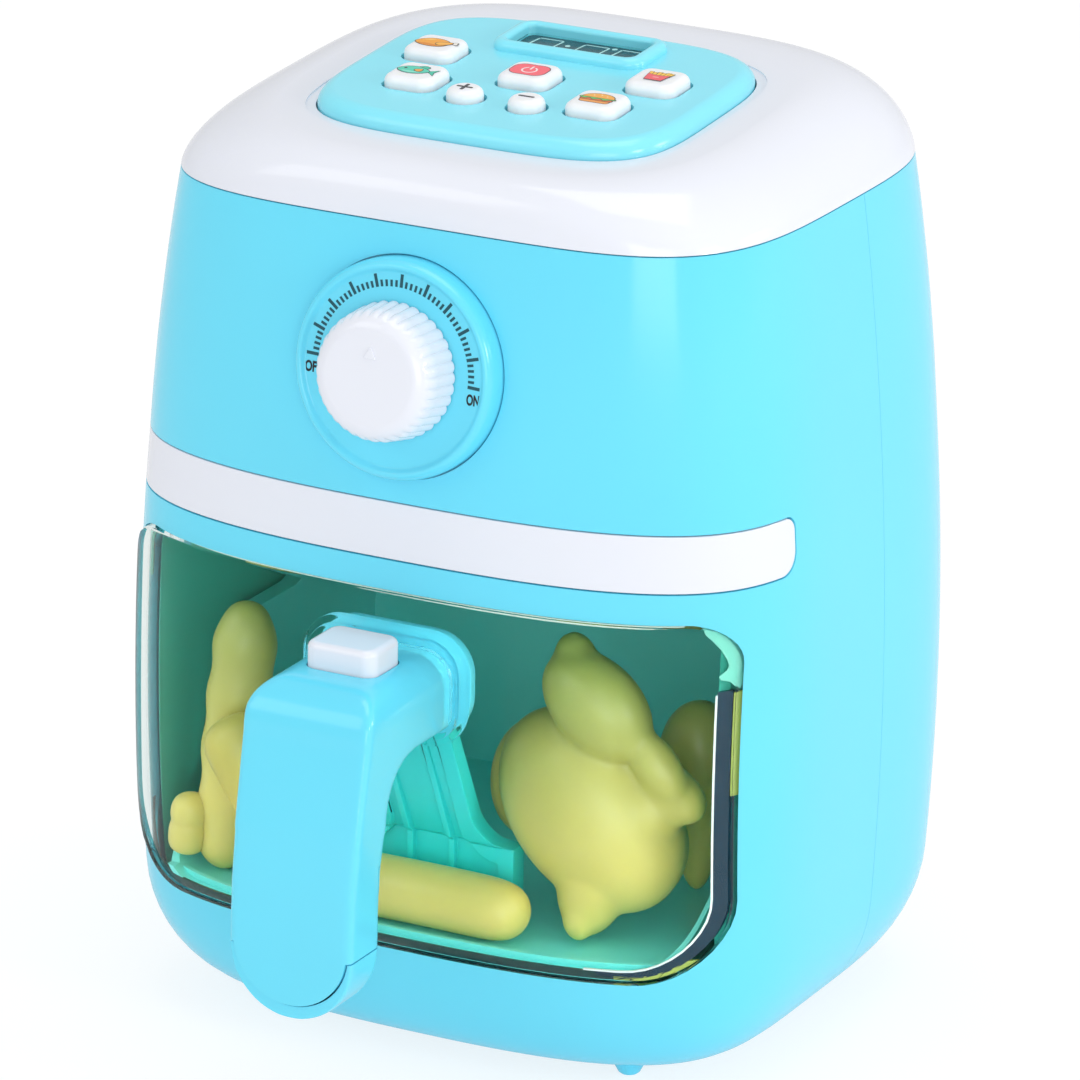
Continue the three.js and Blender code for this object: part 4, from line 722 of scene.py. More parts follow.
@dataclass
class Casing:
    """The two body shells on their feet, and the trim band let into the front one."""

    split: float = 8.0
    seam_gap: float = 0.12
    base_half: Flat = (46.0, 36.0)
    base_curve: float = 4.0
    foot_across: Flat = (44.0, 41.0)
    foot_radii: Flat = (4.6, 2.4)
    foot_round: Flat = (0.5, 0.4)
    foot_bulge: Flat = (0.75, 0.55)
    window_half: float = 72.0
    window_low: float = 26.5
    window_high: float = 106.5
    window_radii: Flat = (18.0, 9.0)
    window_reach: float = 36.0
    web_across: float = 15.0
    web_down: float = 16.0
    web_depth: float = 2.25
    web_thickness: float = 1.6
    web_margin: float = 3.0
    trim_low: float = 113.5
    trim_high: float = 125.7
    trim_end: float = 33.0
    trim_thickness: float = 1.1
    trim_radii: Flat = (5.0, 3.0)
    trim_round: float = 0.25
    dial_height: float = 154.7
    dial_pocket: float = 1.5
    dial_radius: float = 23.8
    dial_bore: float = 9.3
    post_across: float = 57.0
    post_heights: Flat = (133.0, 168.0)
    post_radius: float = 4.0
    post_reach: float = 12.0
    screw_radius: float = 3.0
    seat_wall: float = 3.0
    door_half: float = 34.0
    door_low: float = 29.0
    door_high: float = 91.0
    door_radius: float = 5.0
    door_thickness: float = 2.0
    door_round: float = 0.2
    door_start: float = 50.0
    door_screw_drop: float = 5.0
    door_screw_radii: Flat = (1.3, 2.7)
    ridges: int = 5
    ridge_half: float = 12.0
    ridge_low: float = 6.0
    ridge_step: float = 2.2
    ridge_size: Spot = (1.1, 0.8, 0.5)

    def dial_frame(self) -> Matrix:
        """The frame of the dial: its z leaves the front."""
        rise = self.dial_height - FORM.waist
        lean = math.atan(2 * FORM.inset(self.dial_height) / rise)
        place = Matrix.Translation((0, -FORM.front(self.dial_height), self.dial_height))
        return place @ Matrix.Rotation(math.pi / 2 - lean, 4, "X")

    def window_outline(self, margin: float) -> Outline:
        """The window's outline, grown by a margin."""
        half = self.window_half + margin
        radii = (radius + margin for radius in self.window_radii)
        return rounded(-half, half, self.window_low - margin, self.window_high + margin, *radii)

    def door_outline(self, margin: float) -> Outline:
        """The battery door's outline, grown by a margin."""
        half = self.door_half + margin
        low, high = self.door_low - margin, self.door_high + margin
        return rounded(-half, half, low, high, self.door_radius + margin)

    def trim_block(self, margin: float) -> Piece:
        """A bar across the body that covers the trim band."""
        end = -self.trim_end + margin
        low, high = self.trim_low - margin, self.trim_high + margin
        under, over = self.trim_radii
        outline = [
            (FAR_FRONT, low),
            *arc(end - under, low + under, under, -90, 0),
            *arc(end - over, high - over, over, 0, 90),
            (FAR_FRONT, high),
        ]
        return prism(outline, Axis.X, -FAR_SIDE, FAR_SIDE)

    def blank(self) -> Piece:
        """The hollow body before it is parted."""
        shell = FORM.solid(0, 0, FORM.seam)
        cut(shell, FORM.solid(FORM.wall, FORM.wall, FORM.seam + OVERRUN))
        half = tuple(size + GAP for size in self.base_half)
        floor = squircle(half, self.base_curve, self.base_curve, quarter=12)
        cut(shell, prism(floor, Axis.Z, -OVERRUN, FORM.wall + OVERRUN))
        across, along = self.foot_across
        for x in (-across, across):
            for y in (-along, along):
                add(shell, self.foot(x, y))
        return shell

    def foot(self, x: float, y: float) -> Piece:
        """A round foot with a soft tip."""
        wide, tip = self.foot_radii
        side, rise = self.foot_round
        out, down = self.foot_bulge
        profile = [
            (wide, FORM.wall / 2),
            (mix(wide, tip, out), -FOOT_HEIGHT * down),
            (tip, -FOOT_HEIGHT + rise),
            (tip - side, -FOOT_HEIGHT),
        ]
        return wrap([at_level(circle(x, y, radius, 28), z) for radius, z in profile])

    def screw_bars(self, radius: float, start: float, end: float, sides: int) -> list[Piece]:
        """A bar between two depths at each place of a shell screw."""
        places = [(x, z) for x in (-self.post_across, self.post_across) for z in self.post_heights]
        return [bar(radius, Axis.Y, place, start, end, sides) for place in places]

    def build(self) -> None:
        """Makes the shells, the trim band and the battery door."""
        front = self.blank()
        rear = copied(front)
        low, high = -FOOT_HEIGHT - OVERRUN, FORM.seam + OVERRUN
        nearer, farther = self.split - self.seam_gap / 2, self.split + self.seam_gap / 2
        keep(front, block((-FAR_SIDE, FAR_FRONT, low), (FAR_SIDE, nearer, high)))
        keep(rear, block((-FAR_SIDE, farther, low), (FAR_SIDE, FAR_BACK, high)))
        add(front, *self.screw_bars(self.post_radius, self.split - self.post_reach, nearer, 20))
        add(rear, *self.screw_bars(self.post_radius, farther, farther + self.seat_wall, 20))
        self.open_front(front)
        cut(rear, prism(self.door_outline(GAP), Axis.Y, self.door_start, FAR_BACK))
        cut(rear, *self.screw_bars(self.screw_radius, self.split + self.seat_wall, FAR_BACK, 24))
        settle(front, "casing", BLUE_ABS, "housing", "blue_shell", "front_shell")
        settle(rear, "rear_casing", BLUE_ABS, "housing", "blue_shell", "rear_shell")
        self.trim_band()
        self.battery_door()

    def open_front(self, shell: Piece) -> None:
        """Cuts the window, the trim's groove and the dial's pocket, and webs the window's upper corners."""
        cut(shell, from_front(self.window_outline(GAP), -self.window_reach))
        core = FORM.solid(self.trim_thickness + GAP, self.trim_low - FURTHER, self.trim_high + FURTHER)
        cut(shell, cut(self.trim_block(GAP), core))
        half, top = self.window_half + self.web_margin, self.window_high + self.web_margin
        near, far = self.web_depth, self.web_depth + self.web_thickness
        for side in (-1, 1):
            corners = [
                (side * (half - self.web_across), top),
                (side * half, top),
                (side * half, top - self.web_down),
            ]
            web = from_front(corners, -self.window_reach)
            add(shell, keep(web, FORM.skin(near, far, self.window_low, top + OVERRUN)))
        pocket = bar(self.dial_radius, Axis.Z, (0, 0), -self.dial_pocket, OVERRUN, 96)
        add(pocket, bar(self.dial_bore, Axis.Z, (0, 0), -FURTHER, 0, 48))
        cut(shell, moved(pocket, self.dial_frame()))

    def trim_band(self) -> None:
        """The white band, its edges just broken."""
        low, high = self.trim_low - FURTHER, self.trim_high + FURTHER
        band = keep(self.trim_block(0), FORM.skin(0, self.trim_thickness, low, high))
        soften(band, self.trim_round, angle=60)
        settle(band, "trim_strip", WHITE_ABS, "housing", "white_shell", "trim_band")

    def battery_door(self) -> None:
        """The battery door with finger ridges and a sunk screw hole."""
        door = prism(self.door_outline(0), Axis.Y, self.door_start, FAR_BACK)
        keep(door, FORM.skin(0, self.door_thickness, self.door_low - FURTHER, self.door_high + FURTHER))
        screw = (0, self.door_high - self.door_screw_drop)
        bore, head = self.door_screw_radii
        cut(door, bar(bore, Axis.Y, screw, self.door_start, FAR_BACK, 20))
        cut(door, bar(head, Axis.Y, screw, FORM.half_depth - self.door_thickness / 2, FAR_BACK, 28))
        height, depth, radius = self.ridge_size
        for i in range(self.ridges):
            z = self.door_low + self.ridge_low + i * self.ridge_step
            ridge = rounded(-self.ridge_half, self.ridge_half, z, z + height, radius, steps=4)
            cut(door, prism(ridge, Axis.Y, FORM.half_depth - depth, FAR_BACK))
        soften(door, self.door_round, angle=60)
        settle(door, "battery_cover_plate", BLUE_ABS, "battery_cover", "blue_shell", "battery_door")


@dataclass
class Cap:
    """The white cap, and the recess on it that holds the panel."""

    top: float = 200.4
    wall: float = 2.2
    drops: Flat = (19.3, 18.9)
    rounds: Flat = (1.71, 2.84)
    curves: Flat = (3.55, 3.11)
    back_shift: float = 8.0
    skirt_depth: float = 4.0
    skirt_wall: float = 1.6
    slope: float = math.radians(4)
    steps: int = 28
    ledge_margin: float = 2.2
    ledge_depth: float = 0.35

    def panel_frame(self) -> Matrix:
        """The frame of the sloping top."""
        return Matrix.Translation((0, 0, self.top)) @ Matrix.Rotation(self.slope, 4, "X")

    def form(self, depth: float, drop: float) -> Piece:
        """The cap's form, sunk by a depth and reaching down past the seam by a drop."""
        seam = FORM.inset(FORM.seam) + depth
        rings = []
        for i in range(-1 if drop > 0 else 0, self.steps + 1):
            h = math.sin(max(i, 0) * math.pi / 2 / self.steps)
            falls = [1 - (1 - h**power) ** (1 / power) for power in self.rounds]
            in_x, in_y = (seam + full * fall for full, fall in zip(self.drops, falls))
            side = mix(FORM.side_curves[1], self.curves[0], h)
            front = mix(FORM.front_curves[1], self.curves[1], h)
            half = (FORM.half_width - in_x, FORM.half_depth - in_y)
            ring = []
            for x, y in squircle(half, side, front, -self.back_shift * falls[1]):
                top = self.top + math.tan(self.slope) * y - depth
                ring.append((x, y, mix(FORM.seam + GAP, top, h) - (drop if i < 0 else 0)))
            rings.append(ring)
        return wrap(rings)

    def build(self, panel_outline: Callable[[float], Outline]) -> None:
        """Makes the cap.

        Args:
            panel_outline: the panel's outline for a margin.
        """
        shell = cut(self.form(0, 0), self.form(self.wall, OVERRUN))
        outer, low = FORM.wall + GAP, FORM.seam - self.skirt_depth
        add(shell, FORM.skin(outer, outer + self.skirt_wall, low, FORM.seam + self.wall + GAP))
        for margin, depth in ((self.ledge_margin, self.ledge_depth), (GAP, FURTHER)):
            recess = prism(panel_outline(margin), Axis.Z, -depth, OVERRUN)
            cut(shell, moved(recess, self.panel_frame()))
        settle(shell, "cap_shell", WHITE_ABS, "housing", "white_shell", "top_cap")


# Drawer


@dataclass(frozen=True)
class FramePart:
    """A thin part of the drawer's frame, most of them sheets of painted shade, highlight or reflection: its
    front view, what is cut from that, and where it has to stay.
    """

    name: str
    outline: Outline
    finish: Finish
    less: tuple[Outline, ...] = ()
    within: tuple[Outline, ...] = ()
    slot: str = "teal_inner"


@dataclass
class Drawer:
    """The clear window with its collar, the tub, and the bracket behind the handle."""

    casing: Casing
    proud: float = 1.0
    thickness: float = 2.4
    pane_round: float = 0.5
    pane_margin: float = 6.0
    collar_half: float = 19.5
    collar_low: float = 75.0
    collar_high: float = 100.4
    collar_radius: float = 9.0
    collar_steps: tuple[Flat, ...] = ((0.0, 1.3), (1.5, 2.6))
    collar_round: float = 0.6
    neck: tuple[float, ...] = (-14.8, 14.8, 79.2, 95.6, 2.1, 6.9)
    frame_gap: float = 0.15
    frame_thickness: float = 0.6
    tub_half: float = 62.4
    tub_low: float = 26.7
    tub_floor: float = 1.5
    tub_wall: float = 1.0
    tub_high: float = 76.5
    tub_rim: float = 2.0
    tub_rim_reach: float = 3.1
    tub_back: float = 38.0
    tub_front: float = 44.0
    tub_radius: float = 10.0
    tub_edge: float = 0.4
    tub_margin: float = 2.0
    sweep_low: float = 30.2
    sweep: tuple[Flat, ...] = ((-56.0, 0.0), (-40.0, 10.0), (-28.0, 26.0), (-20.0, 46.3))
    lip_inset: float = 1.0
    lip_heights: Flat = (-0.4, 1.4)
    lip_depths: Flat = (2.2, 3.2)
    lip_radius: float = 0.6
    lip_margin: float = 6.0
    flange_thickness: float = 2.4
    flange_margin: float = 1.3
    flange_round: float = 0.5
    tongue_half: float = 12.0
    foot_half: float = 20.0
    sill: float = 46.0
    fillet: float = 11.0
    rim_width: float = 3.8
    rim_proud: float = 1.4
    rib_across: float = 5.0
    rib_width: float = 1.6
    knee: Flat = (17.0, 47.0)
    shoulder_height: float = 81.0
    flange_foot: float = 70.0
    foot_setback: float = 18.5
    tongue_round: float = 0.35

    @property
    def pane_back(self) -> float:
        """How deep the back of the pane lies below the body's surface."""
        return self.thickness - self.proud

    @property
    def floor_top(self) -> float:
        """Height of the tub's floor."""
        return self.tub_low + self.tub_floor

    @property
    def flange_high(self) -> float:
        """Top of the bracket's flange."""
        return self.collar_high - self.flange_margin

    @property
    def bracket_front(self) -> float:
        """Where the front face of the bracket's flange lies."""
        return -FORM.front(self.flange_high) + self.thickness - self.proud + 3 * GAP

    def build(self) -> None:
        """Makes every piece of the drawer but its handle and food."""
        self.window()
        for part in self.frame_parts():
            self.behind_pane(part)
        self.tub()
        self.bracket()

    def skin(self, near: float, far: float) -> Piece:
        """A skin between two depths that reaches past the window above and below."""
        low, high = self.casing.window_low - self.pane_margin, self.casing.window_high + self.pane_margin
        return FORM.skin(near, far, low, high)

    def window(self) -> None:
        """The pane, and on it the clear ring round the neck of the handle."""
        pane = self.skin(-self.proud, self.pane_back)
        keep(pane, from_front(self.casing.window_outline(0), -self.casing.window_reach))
        soften(pane, self.pane_round, 3, 55)
        back, face = -FORM.half_depth + self.pane_back, -FORM.half_depth - self.proud
        for inset, rise in self.collar_steps:
            half, radius = self.collar_half - inset, self.collar_radius - inset
            ring = rounded(-half, half, self.collar_low + inset, self.collar_high - inset, radius)
            add(pane, soften(prism(ring, Axis.Y, face - rise, back - GAP), self.collar_round, 4))
        cut(pane, from_front(rounded(*self.neck), back + OVERRUN, FURTHER))
        settle(pane, "clear_front", PS_CLEAR, "drawer", "clear_window", "drawer_window")

    def frame_parts(self) -> list[FramePart]:
        """The drawer's frame behind the pane: painted shade in navy at the right and bottle green below,
        painted highlights in white inside the navy and pale along the top, a painted olive reflection of the
        food at the right, and mint hooks.
        """
        window = self.casing.window_outline
        upright = rounded(-62.0, 67.9, 28.6, 99.0, 16.5, 1.0)
        sill = [(-60, 26), (58, 26), (53, 27.6), (46, 28.6), (-58, 28.6), (-66, 31), (-69, 36), (-71, 40)]
        hook = [
            (64.9, 104.9), (66.6, 102.7), (68.1, 100.4), (69.0, 98.1), (69.3, 96.9), (69.0, 95.9),
            (67.9, 94.7), (68.3, 93.9), (69.6, 93.3), (70.1, 92.4), (70.7, 91.5), (71.0, 92.2),
            (71.1, 94.4), (70.9, 96.7), (70.4, 99.1), (69.6, 101.2), (68.6, 102.8), (67.3, 104.1),
        ]

        def left_of(x: float) -> Outline:
            return rectangle(-FAR_SIDE, x, 0, FAR_UP)

        def across(low: float, high: float) -> Outline:
            return rectangle(-FAR_SIDE, FAR_SIDE, low, high)

        parts = [
            # Painted shade: a navy strip for the shaded gap at the pane's right side and lower right corner.
            FramePart(
                "drawer_frame_painted_gap_shade",
                rounded(-60.0, 70.0, 27.4, 91.3, 17.0, 0.6),
                GAP_SHADE_PP,
                (upright, left_of(46)),
                slot="dark_screen",
            ),
            # Painted highlight: a thin white line for the light caught by the pane's inner rib, along the
            # inner side of the navy strip.
            FramePart(
                "drawer_frame_painted_highlight_line",
                upright,
                KEY_ABS,
                (rounded(-62.3, 67.55, 28.95, 99.4, 16.3, 1.0), left_of(44), across(90.6, FAR_UP)),
            ),
            # Painted shade: a dark band for the shaded gap under the pane's lower edge and round its lower
            # left corner.
            FramePart("drawer_frame_painted_sill_shade", sill, SILL_SHADE_PP, within=(window(-0.4),)),
        ]
        for side, name in ((1, "right"), (-1, "left")):
            parts.append(FramePart("drawer_frame_hook_" + name, [(side * x, z) for x, z in hook], HOOK_PP))
        return [
            *parts,
            # Painted highlight: a pale line just inside the pane's top edge.
            FramePart(
                "drawer_frame_painted_brow_highlight",
                window(-0.85),
                BROW_HIGHLIGHT_PP,
                (window(-1.3), across(0, 97), rectangle(62, FAR_SIDE, 0, FAR_UP)),
            ),
            # Painted reflection: an olive line for the yellow food seen in the pane's clear edge, outside the
            # navy strip.
            FramePart(
                "drawer_frame_painted_food_reflection",
                rounded(-60.0, 71.5, 26.9, 90.8, 18.0, 0.6),
                FOOD_REFLECTION_PP,
                (rounded(-62.0, 70.15, 27.7, 99.0, 17.1, 1.0), left_of(50), rectangle(0, FAR_SIDE, 31.5, 68)),
            ),
        ]

    def behind_pane(self, part: FramePart) -> None:
        """Makes one thin part of the frame, a hook or a sheet of painted light, right behind the pane."""
        shape = from_front(part.outline, -self.casing.window_reach)
        cut(shape, *(hole(outline) for outline in part.less))
        keep(shape, *(hole(outline) for outline in part.within))
        near = self.pane_back + self.frame_gap
        keep(shape, self.skin(near, near + self.frame_thickness))
        settle(shape, part.name, part.finish, "drawer", part.slot)

    def tub(self) -> None:
        """The tray that the food lies in, with a low lip along its front."""
        half, wall, edge = self.tub_half, self.tub_wall, self.tub_edge
        depth = self.pane_back + GAP
        outline = rounded(-half, half, self.tub_low, self.tub_high, self.tub_radius, edge, 12)
        tray = from_front(outline, self.tub_back)
        keep(tray, FORM.solid(depth, self.tub_low - self.tub_margin, self.tub_high + self.tub_margin))
        rim, low = half + self.tub_rim_reach, self.tub_high - self.tub_rim
        add(tray, block((-rim, -self.tub_front, low), (rim, self.tub_back + GAP, self.tub_high)))
        half, high = half - wall, self.tub_high + OVERRUN
        room = rounded(-half, half, self.floor_top, high, self.tub_radius - wall, edge, 12)
        cut(tray, from_front(room, self.tub_back - wall, FURTHER))
        line = [(y, self.sweep_low + z) for y, z in self.sweep]
        start = FAR_FRONT - FURTHER
        swept = [(start, self.sweep_low), *line, (line[-1][0], high), (start, high)]
        cut(tray, prism(swept, Axis.X, -FAR_SIDE, FAR_SIDE))
        half = self.tub_half - self.lip_inset
        bottom, top = (self.floor_top + height for height in self.lip_heights)
        lip = from_front(rounded(-half, half, bottom, top, self.lip_radius, steps=3))
        near, far = (depth + more for more in self.lip_depths)
        low, high = self.floor_top - self.lip_margin, self.floor_top + self.lip_margin
        add(tray, keep(lip, FORM.skin(near, far, low, high)))
        settle(tray, "drawer_tray", TEAL_PP, "drawer", "teal_inner", "drawer_tub")

    def slab(self, proud: float, back: float) -> Piece:
        """The leaning slab that the tongue is cut from."""
        front = self.bracket_front
        line = [
            (front, self.flange_high),
            (front, self.shoulder_height),
            (front + self.knee[0], self.knee[1]),
            (front + self.foot_setback, self.sill),
            (front + self.foot_setback, self.floor_top + GAP),
        ]
        near = [(max(y - proud, front), z) for y, z in line]
        far = [(y + back, z) for y, z in reversed(line)]
        return prism(near + far, Axis.X, -self.foot_half, self.foot_half)

    def tongue(self, inset: float) -> Piece:
        """A bar with the tongue's front view: straight sides that flare into a sill."""
        half, reach = self.tongue_half - inset, self.foot_half - inset
        fillet, ledge = min(self.fillet + inset, reach - half), self.sill - inset
        foot = self.floor_top + GAP + inset
        return hole([
            (-reach, foot),
            (reach, foot),
            (reach, ledge),
            *arc(half + fillet, ledge + fillet, fillet, 270, 180, 12),
            (half, self.flange_high),
            (-half, self.flange_high),
            *arc(-half - fillet, ledge + fillet, fillet, 0, -90, 12),
            (-reach, ledge),
        ])

    def bracket(self) -> None:
        """The flange behind the window, and the ribbed tongue under it."""
        front, back = self.bracket_front, self.bracket_front + self.flange_thickness
        margin, half = self.flange_margin, self.collar_half - self.flange_margin
        outline = rounded(-half, half, self.collar_low + margin, self.flange_high, self.collar_radius)
        mount = soften(prism(outline, Axis.Y, front, back), self.flange_round)
        settle(mount, "handle_mount", BLUE_ABS, "drawer", "blue_shell")
        panel = keep(self.slab(0, self.flange_thickness), self.tongue(0))
        rim = cut(self.tongue(0), self.tongue(self.rim_width))
        add(panel, keep(rim, self.slab(self.rim_proud, self.flange_thickness + self.rim_proud)))
        for x in (-self.rib_across, self.rib_across):
            low = (x - self.rib_width / 2, FAR_FRONT, self.floor_top + GAP)
            rib = block(low, (x + self.rib_width / 2, 0, self.flange_high))
            add(panel, keep(rib, self.slab(self.rim_proud, self.flange_thickness)))
        cut(panel, hole(rectangle(-FAR_SIDE, FAR_SIDE, self.shoulder_height + FURTHER, FAR_UP)))
        cut(panel, from_front(rectangle(-FAR_SIDE, FAR_SIDE, self.flange_foot, FAR_UP), back + GAP, FURTHER))
        soften(panel, self.tongue_round)
        settle(panel, "drawer_tongue", TONGUE_PP, "drawer", "teal_inner", "handle_bracket")


@dataclass
class Handle:
    """The grip in two shells, and the release button on its neck."""

    thickness: float = 13.0
    low: float = 25.3
    high: float = 95.8
    low_half: float = 14.4
    high_half: float = 15.0
    shoulder: float = 7.0
    brow: float = 10.0
    armpit: float = 12.0
    neck_low: float = 79.0
    neck_back: float = -68.55
    lean: float = 6.0
    lean_height: float = 50.0
    lean_line: tuple[Flat, ...] = ((0.38, 16.0), (0.1, 4.0), (0.0, -6.0))
    back_lean: float = 2.7
    back_lean_height: float = 57.0
    back_line: tuple[Flat, ...] = ((0.0, -9.0), (0.25, 0.0))
    voxel: float = 0.42
    melting: int = 55
    cover_split: float = 12.2
    cover_height: float = 58.0
    chin_height: float = 40.0
    chin_rim: float = 0.7
    chin_rise: float = 2.3
    chin_setback: float = 0.6
    chin_gap: float = 0.35
    button: Spot = (16.4, 13.5, 3.0)
    button_middle: float = 85.5
    button_top: float = 101.3
    button_low: float = 90.9
    button_round: float = 1.5
    button_slot: float = 84.0
    stub_radius: float = 2.1
    stub_heights: Flat = (86.9, 91.9)

    def grip_outline(self, inset: float) -> Outline:
        """Front view of the grip: a round chin, sides that open upwards, and rounded shoulders."""
        half, top, radius = self.high_half - inset, self.high - inset, self.shoulder
        return [
            *arc(0, self.low + self.low_half, self.low_half - inset, 180, 360, 28),
            *arc(half - radius, top - radius, radius, 0, 90, 12),
            *arc(-half + radius, top - radius, radius, 90, 180, 12),
        ]

    def form(self) -> Piece:
        """The whole handle: the leaning grip hangs from the neck, and every edge is melted round."""
        front, back = -HANDLE_FRONT, -HANDLE_FRONT + self.thickness
        outline = [
            (front, self.low),
            (back, self.low),
            *((back + self.back_lean * out, self.back_lean_height + up) for out, up in self.back_line),
            *arc(back + self.back_lean + self.armpit, self.neck_low - self.armpit, self.armpit, 180, 90, 16),
            (self.neck_back, self.neck_low),
            (self.neck_back, self.high),
            *arc(front + self.lean + self.brow, self.high - self.brow, self.brow, 90, 180, 14),
            *((front + self.lean * out, self.lean_height + up) for out, up in self.lean_line),
        ]
        form = prism(outline, Axis.X, -self.high_half - 1, self.high_half + 1)
        keep(form, prism(self.grip_outline(0), Axis.Y, front - OVERRUN, 0))
        return melt(form, self.voxel, self.melting)

    def zone(self, margin: float, start: float) -> Piece:
        """What the rear shell takes of the form: the back, and a rim under the chin.

        Args:
            margin: how much wider the zone is on each side.
            start: how far in front the chin's rim starts.

        Returns:
            A shape that covers the rear shell.
        """
        half, low = self.high_half + OVERRUN, self.low - OVERRUN
        split = -HANDLE_FRONT + self.cover_split
        back = block((-half, split - margin, low), (half, 0, self.cover_height + margin))
        chin = block((-half, start, low), (half, 0, self.chin_height + margin))
        inner = [(x, z + self.chin_rise) for x, z in self.grip_outline(self.chin_rim + margin)]
        return add(back, cut(chin, prism(inner, Axis.Y, start - OVERRUN, split)))

    def button_outline(self, margin: float) -> Outline:
        """The release button's plan, grown by a margin."""
        x, y = self.button[0] / 2 + margin, self.button[1] / 2 + margin
        middle = -self.button_middle
        return rounded(-x, x, middle - y, middle + y, self.button[2] + margin)

    def build(self) -> None:
        """Makes both shells, and the white button, its top edge well rounded, on a stub inside the neck."""
        cover = self.form()
        rear = keep(copied(cover), self.zone(0, -HANDLE_FRONT + self.chin_setback))
        cut(cover, self.zone(self.chin_gap, -HANDLE_FRONT - OVERRUN))
        cut(cover, prism(self.button_outline(GAP), Axis.Z, self.button_slot, self.high + OVERRUN))
        settle(cover, "handle_cover", BLUE_ABS, "drawer", "blue_shell", "handle_front_cover")
        settle(rear, "handle_back", BLUE_ABS, "drawer", "blue_shell", "handle_rear_shell")
        button = prism(self.button_outline(0), Axis.Z, self.button_low, self.button_top)
        soften(button, self.button_round, 5)
        add(button, bar(self.stub_radius, Axis.Z, (0, -self.button_middle), *self.stub_heights))
        settle(button, "release_key", WHITE_ABS, "release", "white_shell", "release_button")


# Dial


